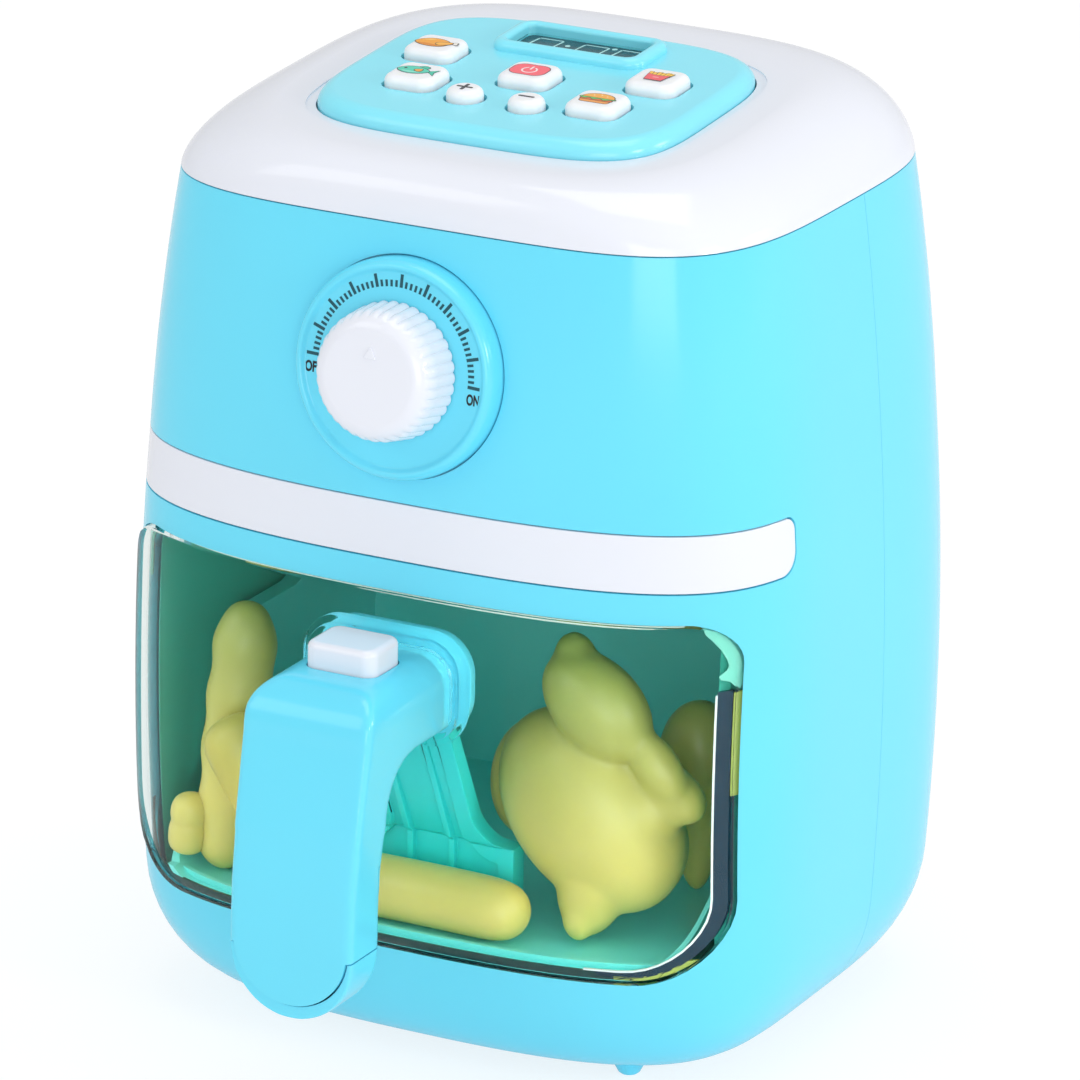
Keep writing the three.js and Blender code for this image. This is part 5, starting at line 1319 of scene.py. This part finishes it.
@dataclass
class Dial:
    """The bezel with its printed half circle, and the ribbed knob. Sizes are in the dial's own frame."""

    place: Matrix
    bezel_radius: float = 23.5
    rim_radius: float = 21.8
    face_radius: float = 20.4
    rim_top: float = 5.0
    rim_foot: float = 1.5
    rim_steps: int = 8
    face: float = 4.1
    face_step: float = 0.4
    pocket: float = 1.2
    boss: Spot = (5.0, 9.0, 5.2)
    ticks: int = 50
    tick_group: int = 5
    tick_inner: float = 17.6
    long_tick: Flat = (20.4, 0.6875)
    short_tick: Flat = (19.0, 0.55)
    ends: Flat = (-2.5, 177.8)
    print_heights: Spot = (0.01, 0.04, 0.025)
    words: tuple[tuple[str, Flat, float], ...] = (("OFF", (-18.8, -2.2), 3.7), ("ON", (19.0, -3.5), 3.0))
    word_size: float = 3.1
    word_film: float = 0.015
    word_weight: float = 0.12
    turn: float = -2.7
    knob_radius: float = 14.7
    knob_side: float = 9.8
    knob_taper: float = 0.6
    knob_top: float = 15.0
    knob_edge: float = 4.2
    knob_steps: int = 20
    crown: float = 1.5
    ribs: int = 36
    rib_depth: float = 0.5
    rib_fade: Flat = (12.2, 14.0)
    rib_power: float = 0.7
    stem: Spot = (3.4, -9.4, 1.0)
    bore: Spot = (1.3, -12.0, 0.3)
    pointer: Spot = (3.0, 2.6, 6.8)
    pointer_heights: Flat = (-0.2, 0.35)
    pointer_round: float = 0.12

    def build(self) -> None:
        """Makes the bezel, its print and the knob."""
        self.bezel()
        self.scale()
        for text, middle, width in self.words:
            self.word(text, middle, width)
        self.knob()

    def print_on(self, label: Piece, name: str, ink: Finish) -> None:
        """Settles a print on the bezel."""
        settle(moved(label, self.place), name, ink, "housing", "dark_screen", weighted=False)

    def bezel(self) -> None:
        """A ring with a broad rounded rim and a sunk face."""
        bore, boss, reach = self.boss
        width, rise = self.bezel_radius - self.rim_radius, self.rim_top - self.rim_foot
        outer = [(self.rim_radius + width * u, self.rim_foot + rise * v) for u, v in arc(0, 0, 1, 0, 90, 12)]
        inner = []
        for t in (i / self.rim_steps for i in range(1, self.rim_steps + 1)):
            inner.append((mix(self.rim_radius, self.face_radius, t), mix(self.rim_top, self.face, eased(t))))
        profile = [
            (bore, -reach),
            (boss, -reach),
            (boss, -self.pocket),
            (self.bezel_radius, -self.pocket),
            *outer,
            *inner,
            (self.face_radius - self.face_step, self.face),
            (bore, self.face),
        ]
        rings = [at_level(circle(0, 0, radius, 128), z) for radius, z in [*profile, profile[0]]]
        ring = moved(wrap(rings, loop=True), self.place)
        settle(ring, "dial_ring", BLUE_ABS, "housing", "blue_shell", "dial_bezel")

    def scale(self) -> None:
        """Fifty short and long marks from OFF at nine o'clock to ON at three."""
        low, high, _ = self.print_heights
        marks = []
        for i in range(self.ticks + 1):
            end, width = self.short_tick if i % self.tick_group else self.long_tick
            corners = rectangle(self.tick_inner, end, -width / 2, width / 2)
            mark = prism(corners, Axis.Z, self.face + low, self.face + high)
            marks.append(turned(mark, mix(*self.ends, i / self.ticks)))
        self.print_on(joined(marks), "dial_scale_print", SCALE_INK)

    def word(self, text: str, middle: Flat, width: float) -> None:
        """Prints a word in narrow bold capitals under an end of the scale."""
        pick()
        bpy.ops.object.text_add()
        letters = bpy.context.object.data
        letters.body = text
        letters.size = self.word_size
        letters.align_x = letters.align_y = "CENTER"
        letters.extrude = self.word_film
        letters.offset = self.word_weight
        bpy.ops.object.convert(target="MESH")
        label = bpy.context.object
        narrow = Matrix.Diagonal((width / label.dimensions.x, 1, 1, 1))
        moved(label, Matrix.Translation((*middle, self.face + self.print_heights[2])) @ narrow)
        self.print_on(label, "print_" + text.lower(), TEXT_INK)

    def knob(self) -> None:
        """A cap with fine ribs that fade into its rounded top edge, and a raised pointer."""
        low, side = self.face + GAP, self.knob_side
        start, end = self.rib_fade
        shoulder = self.knob_radius - self.knob_taper
        levels = [(low, self.knob_radius, 1.0), (side, shoulder, 1.0)]
        for i in range(1, self.knob_steps + 1):
            angle = i * math.pi / 2 / self.knob_steps
            z = side + (self.knob_top - side) * math.sin(angle)
            radius = shoulder - self.knob_edge * (1 - math.cos(angle))
            levels.append((z, radius, clamp((end - z) / (end - start))))
        levels.append((self.knob_top, shoulder - self.knob_edge - self.crown, 0.0))
        steps = self.ribs * 8
        waves = [abs(math.sin(math.pi * i * self.ribs / steps)) ** self.rib_power for i in range(steps)]
        rings = []
        for z, radius, ribbed in levels:
            unit = zip(circle(0, 0, 1, steps), waves)
            radii = [(spot, radius - ribbed * self.rib_depth * (1 - wave)) for spot, wave in unit]
            rings.append([(r * x, r * y, z) for (x, y), r in radii])
        knob = wrap(rings)
        radius, foot, rise = self.stem
        add(knob, bar(radius, Axis.Z, (0, 0), foot, low + rise, 32))
        radius, foot, rise = self.bore
        cut(knob, bar(radius, Axis.Z, (0, 0), foot, rise, 20))
        width, height, tip = self.pointer
        low, high = (self.knob_top + level for level in self.pointer_heights)
        mark = prism([(-width / 2, tip - height), (width / 2, tip - height), (0, tip)], Axis.Z, low, high)
        add(knob, soften(mark, self.pointer_round))
        turned(knob, self.turn)
        settle(moved(knob, self.place), "dial_cap", WHITE_ABS, "dial", "white_shell", "dial_knob", sharp=50)


# Panel


@dataclass(frozen=True)
class Key:
    """A push button: its sign, its body, its place in the panel's plane, and whether it is square."""

    sign: str
    x: float
    y: float
    square: bool = True

    @property
    def body(self) -> str:
        """The moving body."""
        return self.sign + "_key"


KEYS = (
    Key("chicken", -26.5, -2.4),
    Key("fries", 26.5, -2.4),
    Key("power", 0, -9.8),
    Key("fish", -21.5, -20.3),
    Key("burger", 21.5, -20.3),
    Key("plus", -7.3, -25.3, False),
    Key("minus", 7.3, -25.3, False),
)


@dataclass
class ControlPanel:
    """The pale panel on the cap, its display and its buttons. Sizes are in the plane of the sloping top."""

    place: Matrix
    half: Flat = (41.8, 35.4)
    middle: float = -6.8
    curve: float = 4.2
    proud: float = 3.35
    edge: float = 3.3
    edge_steps: int = 12
    wall: float = 2.2
    skirt: float = 6.4
    display_half: Flat = (18.0, 8.7)
    display_middle: float = 13.4
    display_proud: float = 2.2
    display_radius: float = 4.2
    display_round: float = 1.6
    display_foot: float = 0.3
    open_half: Flat = (15.1, 5.9)
    open_radius: float = 1.8
    flare: float = 1.0
    flare_steps: int = 7
    lens_drop: float = 2.2
    lens_round: float = 0.15
    lens_heights: Flat = (-0.6, 0.0)
    card_heights: Flat = (-1.5, -0.8)
    digit_heights: Flat = (-0.79, -0.76)
    digit_places: Spot = (-9.6, 1.4, 10.2)
    digit_half: Flat = (2.9, 4.3)
    digit_stroke: float = 0.4
    digit_gap: float = 0.25
    digit_lean: float = 0.14
    dots: tuple[Flat, ...] = ((-4.3, 1.9), (5.6, 4.1))
    dot_radius: float = 0.6
    key_half: float = 5.9
    key_radius: float = 3.1
    key_round: float = 4.0
    key_proud: float = 2.5
    key_edge: float = 1.8
    key_foot: Spot = (1.1, -1.5, -0.3)
    key_stem: Spot = (2.0, -3.9, -0.6)
    key_low: float = -1.2
    hole_margin: float = 0.65

    def outline(self, margin: float) -> Outline:
        """The panel's outline, grown by a margin."""
        half = tuple(size + margin for size in self.half)
        return squircle(half, self.curve, self.curve, self.middle, 32)

    def display_outline(self, half: Flat, margin: float, radius: float, steps: int = 6) -> Outline:
        """A rounded rectangle round the display's middle, grown by a margin."""
        x, y = half[0] + margin, half[1] + margin
        return rounded(-x, x, self.display_middle - y, self.display_middle + y, radius + margin, steps=steps)

    def key_outline(self, key: Key, margin: float) -> Outline:
        """A button's outline, grown by a margin."""
        if key.square:
            half = self.key_half + margin
            return rounded(key.x - half, key.x + half, key.y - half, key.y + half, self.key_radius + margin)
        return circle(key.x, key.y, self.key_round + margin, 40)

    def build(self) -> None:
        """Makes the panel, the display and every button with its sign."""
        self.plate()
        self.display()
        for key in KEYS:
            self.button(key)
        Signs(self.place, self.proud + self.key_proud).build()

    def plate(self) -> None:
        """The panel's skin with a rounded brow, the raised frame of the display, and the button openings."""
        rings = [at_level(self.outline(0), -self.skirt)]
        for i in range(self.edge_steps + 1):
            angle = i * math.pi / 2 / self.edge_steps
            margin = -self.edge * (1 - math.cos(angle))
            rings.append(at_level(self.outline(margin), self.proud - self.edge * (1 - math.sin(angle))))
        plate = wrap(rings)
        cut(plate, prism(self.outline(-self.wall), Axis.Z, -self.skirt - OVERRUN, 0))
        top = self.proud + self.display_proud
        raised = self.display_outline(self.display_half, 0, self.display_radius, 10)
        add(plate, soften(prism(raised, Axis.Z, self.display_foot, top), self.display_round, 6))
        opening = self.display_outline(self.open_half, 0, self.open_radius)
        cut(plate, prism(opening, Axis.Z, -OVERRUN, top + OVERRUN), self.flared_cut(top))
        for key in KEYS:
            cut(plate, prism(self.key_outline(key, self.hole_margin), Axis.Z, -OVERRUN, self.proud + OVERRUN))
        settle(moved(plate, self.place), "panel_skin", PANEL_ABS, "housing", "blue_shell", "control_panel")

    def flared_cut(self, top: float) -> Piece:
        """A cutter that rounds the inner edge of the display's frame."""
        rings = []
        for i in range(self.flare_steps + 1):
            angle = i * math.pi / 2 / self.flare_steps
            ring = self.display_outline(self.open_half, self.flare * (1 - math.cos(angle)), self.open_radius)
            rings.append(at_level(ring, top - self.flare * (1 - math.sin(angle))))
        return wrap([*rings, at_level(ring, top + OVERRUN)])

    def display(self) -> None:
        """A clear lens over a dark card with outlined digits and dots."""
        top = self.proud + self.display_proud - self.lens_drop
        sheets = []
        for margin, heights in ((-0.1, self.lens_heights), (-0.2, self.card_heights)):
            outline = self.display_outline(self.open_half, margin, self.open_radius)
            sheets.append(prism(outline, Axis.Z, *(top + height for height in heights)))
        lens, card = sheets
        soften(lens, self.lens_round)
        settle(moved(lens, self.place), "display_window", PS_LENS, "housing", "dark_screen", "display_lens")
        settle(moved(card, self.place), "display_sheet", CARD, "housing", "dark_screen", "display_card")
        low, high = (top + height for height in self.digit_heights)
        digits = moved(joined([prism(shape, Axis.Z, low, high) for shape in self.digits()]), self.place)
        settle(digits, "display_print", DIGIT_INK, "housing", "dark_screen", weighted=False)

    def digits(self) -> list[Outline]:
        """Three slanted digits with bevelled segments, and two dots."""
        half, tall = self.digit_half
        gap = self.digit_gap
        bars = []
        for x in self.digit_places:
            for side in (-half, half):
                bars += [((x + side, low + gap), (x + side, low + tall - gap)) for low in (-tall, 0)]
            bars += [((x - half + gap, y), (x + half - gap, y)) for y in (-tall, tall)]
        shapes = []
        for start, end in ((Vector(a), Vector(b)) for a, b in bars):
            along = (end - start).normalized() * self.digit_stroke / 2
            side = Vector((-along.y, along.x))
            shapes.append([start - side, end - side, end + along, end + side, start + side, start - along])
        slanted = [[(x + self.digit_lean * y, y + self.display_middle) for x, y in shape] for shape in shapes]
        for x, y in self.dots:
            slanted.append(circle(x + self.digit_lean * y, self.display_middle + y, self.dot_radius, 12))
        return slanted

    def button(self, key: Key) -> None:
        """One button: a pillowed head, a foot under the panel and a stem."""
        head = prism(self.key_outline(key, 0), Axis.Z, self.key_low, self.proud + self.key_proud)
        soften(head, self.key_edge, 5)
        margin, *heights = self.key_foot
        add(head, prism(self.key_outline(key, margin), Axis.Z, *heights))
        radius, *heights = self.key_stem
        add(head, bar(radius, Axis.Z, (key.x, key.y), *heights))
        node = "button_" + key.sign
        settle(moved(head, self.place), node + "_cap", KEY_ABS, key.body, "white_key", node)


Layers = list[tuple[str, Sequence[Flat]]]


def lined(colour: str, *outlines: Sequence[Flat], line: float = 0.2) -> Layers:
    """Flat shapes in a colour, each over a slightly larger dark one."""
    pairs = [[(LINE_INK.colour, grown(outline, line)), (colour, outline)] for outline in outlines]
    return [layer for pair in pairs for layer in pair]


def flat(colour: str, *outlines: Sequence[Flat]) -> Layers:
    """Flat shapes in a colour."""
    return [(colour, outline) for outline in outlines]


@dataclass
class Signs:
    """Simple printed signs on the buttons, each a few flat colours over a dark outline."""

    place: Matrix
    top: float
    film: float = 0.012
    first_film: float = 0.005
    sink: float = 0.02
    size: float = 0.95
    sizes: dict[str, float] = field(default_factory=lambda: {"fries": 0.85, "burger": 0.93})

    def build(self) -> None:
        """Prints every sign, its films one on the other."""
        for key in KEYS:
            size = self.sizes.get(key.sign, self.size)
            for i, (colour, outline) in enumerate(getattr(self, key.sign)()):
                low = self.top + self.first_film + i * self.film
                corners = [(key.x + x * size, key.y + y * size) for x, y in outline]
                film = moved(prism(corners, Axis.Z, low - self.sink, low + self.film), self.place)
                ink = Ink("ink_printed_" + colour[1:].lower(), colour)
                settle(film, f"sign_{key.sign}_{i}", ink, key.body, "white_key", weighted=False)

    def chicken(self) -> Layers:
        """A roast bird on its back, seen from the side."""
        bone = [(3.7, 0.95), (4.6, 1.5), (5.1, 1.2), (4.9, 0.8), (5.2, 0.4), (4.8, 0.1), (3.9, 0.3)]
        body = [
            (-4.9, -0.6), (-3.6, 1.5), (-1.2, 2.5), (1.6, 2.0),
            (3.2, 0.6), (2.6, -1.6), (0.2, -2.5), (-2.8, -2.2),
        ]
        under = [(-3.9, -1.3), (-1.0, -1.1), (1.4, -1.9), (0.2, -2.4), (-2.8, -2.1)]
        leg = [(0.6, 0.2), (2.0, 0.7), (3.6, 1.0), (3.9, 0.3), (2.9, -0.8), (1.4, -1.4), (0.4, -0.9)]
        shine = [(-3.6, 0.6), (-2.2, 1.6), (-0.8, 1.9), (-1.6, 1.1)]
        return [
            *lined("#F6F2E8", smooth_loop(bone)),
            *lined("#F5A93A", smooth_loop(body)),
            *flat("#E08A28", smooth_loop(under)),
            *lined("#F8B649", smooth_loop(leg)),
            *flat("#FBD27C", smooth_loop(shine)),
        ]

    def fries(self) -> Layers:
        """A box of fries."""
        sticks = []
        for i, x in enumerate((-2.4, -1.4, -0.4, 0.6, 1.6, 2.5)):
            tip, top = x * 1.22, 3.0 - 0.35 * (i % 2)
            sticks.append([(x - 0.45, 0.2), (x + 0.45, 0.2), (tip + 0.45, top), (tip - 0.45, top)])
        box = [(-2.3, -3.1), (2.3, -3.1), (3.0, 1.0), (1.5, 0.5), (0, 0.35), (-1.5, 0.5), (-3.0, 1.0)]
        stripe = [(-0.9, -1.4), (0.9, -1.4), (0.7, -0.8), (-0.7, -0.8)]
        return [*lined("#FBCB4B", *sticks), *lined("#F2626B", box), *flat("#F9A9AD", stripe)]

    def power(self) -> Layers:
        """A red field with the common power sign."""
        ring = [*arc(0, -0.2, 1.9, 118, 422, 30), *reversed(arc(0, -0.2, 1.5, 118, 422, 30))]
        upright = rounded(-0.22, 0.22, 0.1, 2.2, 0.2, steps=3)
        return lined("#FB6A77", rounded(-4.3, 4.3, -3.3, 3.3, 2.4)) + flat("#FCE9EA", ring, upright)

    def fish(self) -> Layers:
        """A fish that swims to the left."""
        tail = [(2.6, 0.1), (4.9, 1.8), (4.3, 0.0), (4.9, -1.9)]
        fin = [(-0.6, 2.1), (0.6, 3.1), (2.0, 2.6), (1.6, 1.4)]
        body = [
            (-4.6, -0.2), (-3.2, 1.7), (-0.8, 2.3), (1.6, 1.4),
            (3.1, 0.1), (1.6, -1.5), (-1.0, -2.2), (-3.4, -1.6),
        ]
        belly = [(-3.2, -1.0), (-1.0, -0.9), (1.2, -1.2), (-0.8, -1.9), (-2.6, -1.6)]
        side = [(-0.4, 0.4), (1.1, 0.9), (1.0, -0.7), (-0.3, -0.4)]
        return [
            *lined("#3FC6A8", tail, smooth_loop(fin)),
            *lined("#56D3B8", smooth_loop(body)),
            *flat("#8BE4CF", smooth_loop(belly)),
            *lined("#F4A94A", smooth_loop(side)),
            *flat(LINE_INK.colour, circle(-3.0, 0.5, 0.36, 14)),
        ]

    def burger(self) -> Layers:
        """A burger: bun, leaf, patty and bun."""
        leaf = [
            (-4.4, 0.1), (-3.2, -0.7), (-2.0, -0.1), (-0.8, -0.8), (0.6, -0.1),
            (1.8, -0.8), (3.1, -0.2), (4.4, 0.1), (3.0, 0.6), (-3.0, 0.6),
        ]
        bun = [(x, 0.3 + y * 0.68) for x, y in arc(0, 0, 3.9, 0, 180, 20)]
        return [
            *lined("#F0A050", rounded(-3.6, 3.6, -2.7, -1.0, 0.8, 0.2, 6)),
            *lined("#D9713C", rounded(-3.9, 3.9, -1.3, -0.3, 0.45, steps=5)),
            *lined("#6FCB6B", smooth_loop(leaf)),
            *lined("#F6B04C", bun),
            *flat("#FDE9BE", *(circle(x, y, 0.22, 8) for x, y in ((-1.6, 1.6), (0.1, 2.1), (1.7, 1.5)))),
        ]

    def minus(self) -> Layers:
        """A minus sign."""
        return flat(LINE_INK.colour, rounded(-2.0, 2.0, -0.4, 0.4, 0.35, steps=4))

    def plus(self) -> Layers:
        """A plus sign: a minus sign and an upright bar."""
        return self.minus() + flat(LINE_INK.colour, rounded(-0.4, 0.4, -2.0, 2.0, 0.35, steps=4))


# Food


@dataclass(frozen=True)
class Stick:
    """A round stick with round ends: its middle and its radius along the way, and how blunt the ends are."""

    name: str
    node: str
    middle_at: Callable[[float], Spot]
    radius_at: Callable[[float], float]
    blunt: float
    finish: Finish = FOOD_PVC
    levels: int = 44
    sides: int = 28
    look: float = 0.02
    tip: float = 0.02

    def build(self) -> None:
        """Makes the stick."""
        rings = []
        for i in range(self.levels + 1):
            t = 0.5 - 0.5 * math.cos(math.pi * i / self.levels)
            before, after = (self.middle_at(clamp(t + step)) for step in (-self.look, self.look))
            along = (Vector(after) - Vector(before)).normalized()
            u = Vector((0, 1, 0)).cross(along).normalized()
            v = along.cross(u)
            end = clamp(1 - abs(2 * t - 1) ** self.blunt) ** 0.5
            radius = max(self.radius_at(t) * end, self.tip)
            middle = Vector(self.middle_at(t))
            rings.append([tuple(middle + u * x + v * y) for x, y in circle(0, 0, radius, self.sides)])
        settle(wrap(rings), self.name, self.finish, "drawer", "food_yellow", self.node, sharp=80)


@dataclass
class PlayFood:
    """The hollow vinyl food in the drawer."""

    floor: float = 28.5
    bird_radius: float = 18.0
    bird_middle: Spot = (34.5, -42.0, 55.7)
    bird_voxel: float = 0.8
    bird_melting: int = 12
    # Half sizes, middle and turn of each egg, as shares of the bird's radius and in radians.
    bird_eggs: tuple[tuple[Spot, Spot, float], ...] = (
        ((1, 0.83, 1.36), (0, 0, 0), -0.75),
        ((0.53, 0.5, 0.78), (0.15, -0.22, 1.4), -0.9),
        ((0.27, 0.26, 0.36), (-0.2, -0.11, 1.85), -0.15),
        ((0.34, 0.32, 0.55), (0.98, -0.05, 0.44), 2.0),
        ((0.27, 0.26, 0.5), (0.95, -0.22, 0.78), 2.45),
        ((0.5, 0.4, 0.42), (0.72, -0.12, 0.16), 0.6),
        ((0.42, 0.44, 0.67), (0.17, -0.28, -0.8), 0.15),
        ((0.21, 0.21, 0.3), (0.11, -0.5, -1.17), 0),
        ((0.5, 0.5, 0.75), (-1.02, 0.42, 0.08), 0.1),
        ((0.64, 0.72, 0.72), (0.5, 0.11, -0.43), 0),
    )

    def build(self) -> None:
        """Makes every piece of food."""
        self.bird()
        for stick in self.sticks():
            stick.build()

    def bird(self) -> None:
        """The roast bird: breast, two drumsticks, neck and folded wing melted into one skin."""
        size, middle = self.bird_radius, Vector(self.bird_middle)
        eggs = []
        for radii, place, turn in self.bird_eggs:
            pick()
            bpy.ops.mesh.primitive_uv_sphere_add(segments=32, ring_count=20, radius=1)
            matrix = Matrix.Translation(middle + size * Vector(place)) @ Matrix.Rotation(turn, 4, "Y")
            eggs.append(moved(bpy.context.object, matrix @ Matrix.Diagonal((*(size * Vector(radii)), 1))))
        bird = melt(joined(eggs), self.bird_voxel, self.bird_melting)
        settle(bird, "roast_bird", FOOD_PVC, "drawer", "food_yellow", "roast_chicken", sharp=80)

    def sticks(self) -> list[Stick]:
        """The tall wavy stick, the sausage in front, the leaning stick, the stub and the loaf on its stem."""
        floor = self.floor
        return [
            Stick(
                "tall_stick",
                "wavy_stick",
                lambda t: (
                    mix(-51.6, -48.2, t**0.7) + 0.25 * math.sin(t * 3 * math.pi),
                    -mix(50, 44.5, t),
                    floor + t * 60.0,
                ),
                lambda t: 6.5 + 0.6 * t + 0.3 * math.sin(t * 10 * math.pi),
                7,
            ),
            Stick(
                "front_sausage",
                "sausage",
                lambda t: (3 + (t - 0.5) * 49, -58 + 3.2 * t * (1 - t), floor + 6.8),
                lambda t: 6.8,
                8,
            ),
            Stick(
                "leaning_bite",
                "leaning_stick",
                lambda t: (mix(-24, -46.8, t), -56.8, floor + 0.6 + t * 37),
                lambda t: mix(6.4, 7.6, t),
                9,
                BRIGHT_PVC,
            ),
            Stick(
                "corner_stub",
                "short_stick",
                lambda t: (mix(-57.7, -56.4, t), -53.8, floor + 3.3 + t * 14.0),
                lambda t: 4.2 - 0.3 * math.exp(-((t - 0.55) / 0.08) ** 2),
                5,
            ),
            Stick(
                "tall_loaf",
                "round_loaf",
                lambda t: (44, -10, floor + t * 43),
                lambda t: mix(4.4, 9.4, clamp((t - 0.42) / 0.26) ** 0.8),
                3.4,
            ),
        ]


# What shows little


@dataclass
class Insides:
    """The chamber's liner in smooth form, and the finishes of the nodes that stay as they are."""

    half: float = 68.5
    low: float = 22.4
    high: float = 110.5
    back: float = 42.0
    wall: float = 1.6
    radius: float = 7.0
    front_depth: float = 3.6
    rail: Spot = (72.6, 74.2, 3.4)
    rail_front: float = 22.0

    def build(self) -> None:
        """Makes the chamber's walls with the two rails that carry the drawer, and dresses the rest."""
        half, w = self.half, self.wall
        liner = from_front(rounded(-half, half, self.low, self.high, self.radius), self.back)
        keep(liner, FORM.solid(self.front_depth, self.front_depth, FORM.seam))
        room = rounded(-half + w, half - w, self.low + w, self.high - w, self.radius - w)
        cut(liner, from_front(room, self.back - w, FURTHER))
        low, high, width = self.rail
        for side in (-1, 1):
            start, end = sorted((side * (half - w / 2), side * (half - w - width)))
            add(liner, block((start, -self.rail_front, low), (end, self.back - w / 2, high)))
        settle(liner, "chamber_walls", LINER_PP, "housing", "teal_inner", "chamber_liner")
        self.dress()

    def dress(self) -> None:
        """Gives each node that stays its finish."""
        screws = ["handle_screw_left", "handle_screw_right", "dial_screw", "battery_screw"]
        screws += ["board_screw_left", "board_screw_right", *(f"shell_screw_{i}" for i in range(1, 5))]
        springs = ["release_spring", "dial_click_spring", "battery_contact_left", "battery_contact_right"]
        finishes = {
            BLUE_ABS: ["base_plate", "battery_box"],
            STEEL: screws + springs,
            BLACK_ABS: ["speaker", "battery_1", "battery_2", "battery_3"],
            BOARD: ["lamp_board", "circuit_board"],
            RUBBER: ["keypad"],
            PS_CLEAR: ["chamber_lamp"],
            WHITE_ABS: ["dial_click_wheel"],
        }
        for finish, nodes in finishes.items():
            for node in nodes:
                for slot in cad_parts[node].material_slots:
                    slot.material = finish.material()
                log.info("%s: dressed in %s", node, finish.name)


# Studio


@dataclass
class Studio:
    """The camera, the lamps, the pale floor and the white surroundings."""

    eye: Spot = (0.6944, -1.3301, 0.6211)
    backwards: Spot = (0.43243, -0.84140, 0.32408)
    roll: float = math.radians(1.03)
    focal_px: float = 7395.34
    image_px: float = 1080.0
    shift_px: float = 3.6
    sensor_mm: float = 36.0
    sky: float = 0.62
    white: float = 1.16
    floor_size: float = 12.0
    sight: float = 20.0
    aim: Spot = (0, 0.02, 0.1)
    # Place, size in metres and power of each softbox.
    lamps: dict[str, tuple[Spot, float, float]] = field(
        default_factory=lambda: {
            "key_softbox": ((-1.3, -1.6, 1.4), 1.1, 5),
            "side_softbox": ((2.0, -0.35, 0.75), 0.5, 8),
            "rear_softbox": ((1.8, 0.95, 0.6), 0.45, 5),
            "top_softbox": ((0.1, 0.1, 1.9), 1.2, 8),
            "low_softbox": ((1.05, -1.85, 0.4), 1.2, 11),
        }
    )

    def build(self) -> None:
        """Sets up everything that isn't the toy."""
        self.camera()
        world = bpy.data.worlds.new("white_room")
        fill_tree(world, "World", self.surroundings)
        bpy.context.scene.world = world
        pick()
        bpy.ops.mesh.primitive_plane_add(size=self.floor_size)
        sheet = bpy.context.object
        sheet.name = "paper_floor"
        sheet.data.materials.append(Paper("paper_white_matt", "#EEEEEF", 1.0, self.white).material())
        for name, (place, size, power) in self.lamps.items():
            self.lamp(name, place, size, power)
        bpy.context.scene.view_settings.view_transform = "Standard"

    def camera(self) -> None:
        """The photograph's long lens, a little to the right and above."""
        back = Vector(self.backwards).normalized()
        right = Vector((0, 0, 1)).cross(back).normalized()
        up = back.cross(right)
        c, s = math.cos(self.roll), math.sin(self.roll)
        data = bpy.data.cameras.new("photo_camera")
        data.sensor_width = self.sensor_mm
        data.lens = self.sensor_mm * self.focal_px / self.image_px
        data.shift_x = -self.shift_px / self.image_px
        data.clip_end = self.sight
        turn = Matrix((right * c + up * s, up * c - right * s, back)).transposed().to_4x4()
        bpy.context.scene.camera = self.stand("photo_camera", data, self.eye, turn)

    def lamp(self, name: str, place: Spot, size: float, power: float) -> None:
        """A square softbox that faces the toy."""
        data = bpy.data.lights.new(name, "AREA")
        data.size = size
        data.energy = power
        aim = Vector(self.aim) - Vector(place)
        self.stand(name, data, place, aim.to_track_quat("-Z", "Y").to_matrix().to_4x4())

    def stand(self, name: str, data: bpy.types.ID, place: Spot, turn: Matrix) -> Piece:
        """Stands a camera or a lamp in its place."""
        made = bpy.data.objects.new(name, data)
        bpy.context.scene.collection.objects.link(made)
        made.matrix_world = Matrix.Translation(place) @ turn
        return made

    def surroundings(self, tree: Tree) -> Socket:
        """Even white light, and plain white where the camera or clear parts see past the floor."""
        seen = add_node(tree, "LightPath", {}, "Is Camera Ray")
        through = add_node(tree, "LightPath", {}, "Is Transmission Ray")
        share = add_node(tree, "Math", {"operation": "MAXIMUM", 0: seen, 1: through})
        inputs = {0: share}
        for i, strength in ((1, self.sky), (2, self.white)):
            inputs[i] = add_node(tree, "Background", {"Color": (1, 1, 1, 1), "Strength": strength})
        return add_node(tree, "MixShader", inputs)


def main() -> None:
    """Builds the studio, then the toy from its body outwards."""
    logging.basicConfig(level=logging.INFO, format="%(message)s")
    Studio().build()
    casing = Casing()
    casing.build()
    cap = Cap()
    panel = ControlPanel(cap.panel_frame())
    cap.build(panel.outline)
    panel.build()
    Dial(casing.dial_frame()).build()
    Drawer(casing).build()
    Handle().build()
    PlayFood().build()
    Insides().build()


if __name__ == "__main__":
    main()
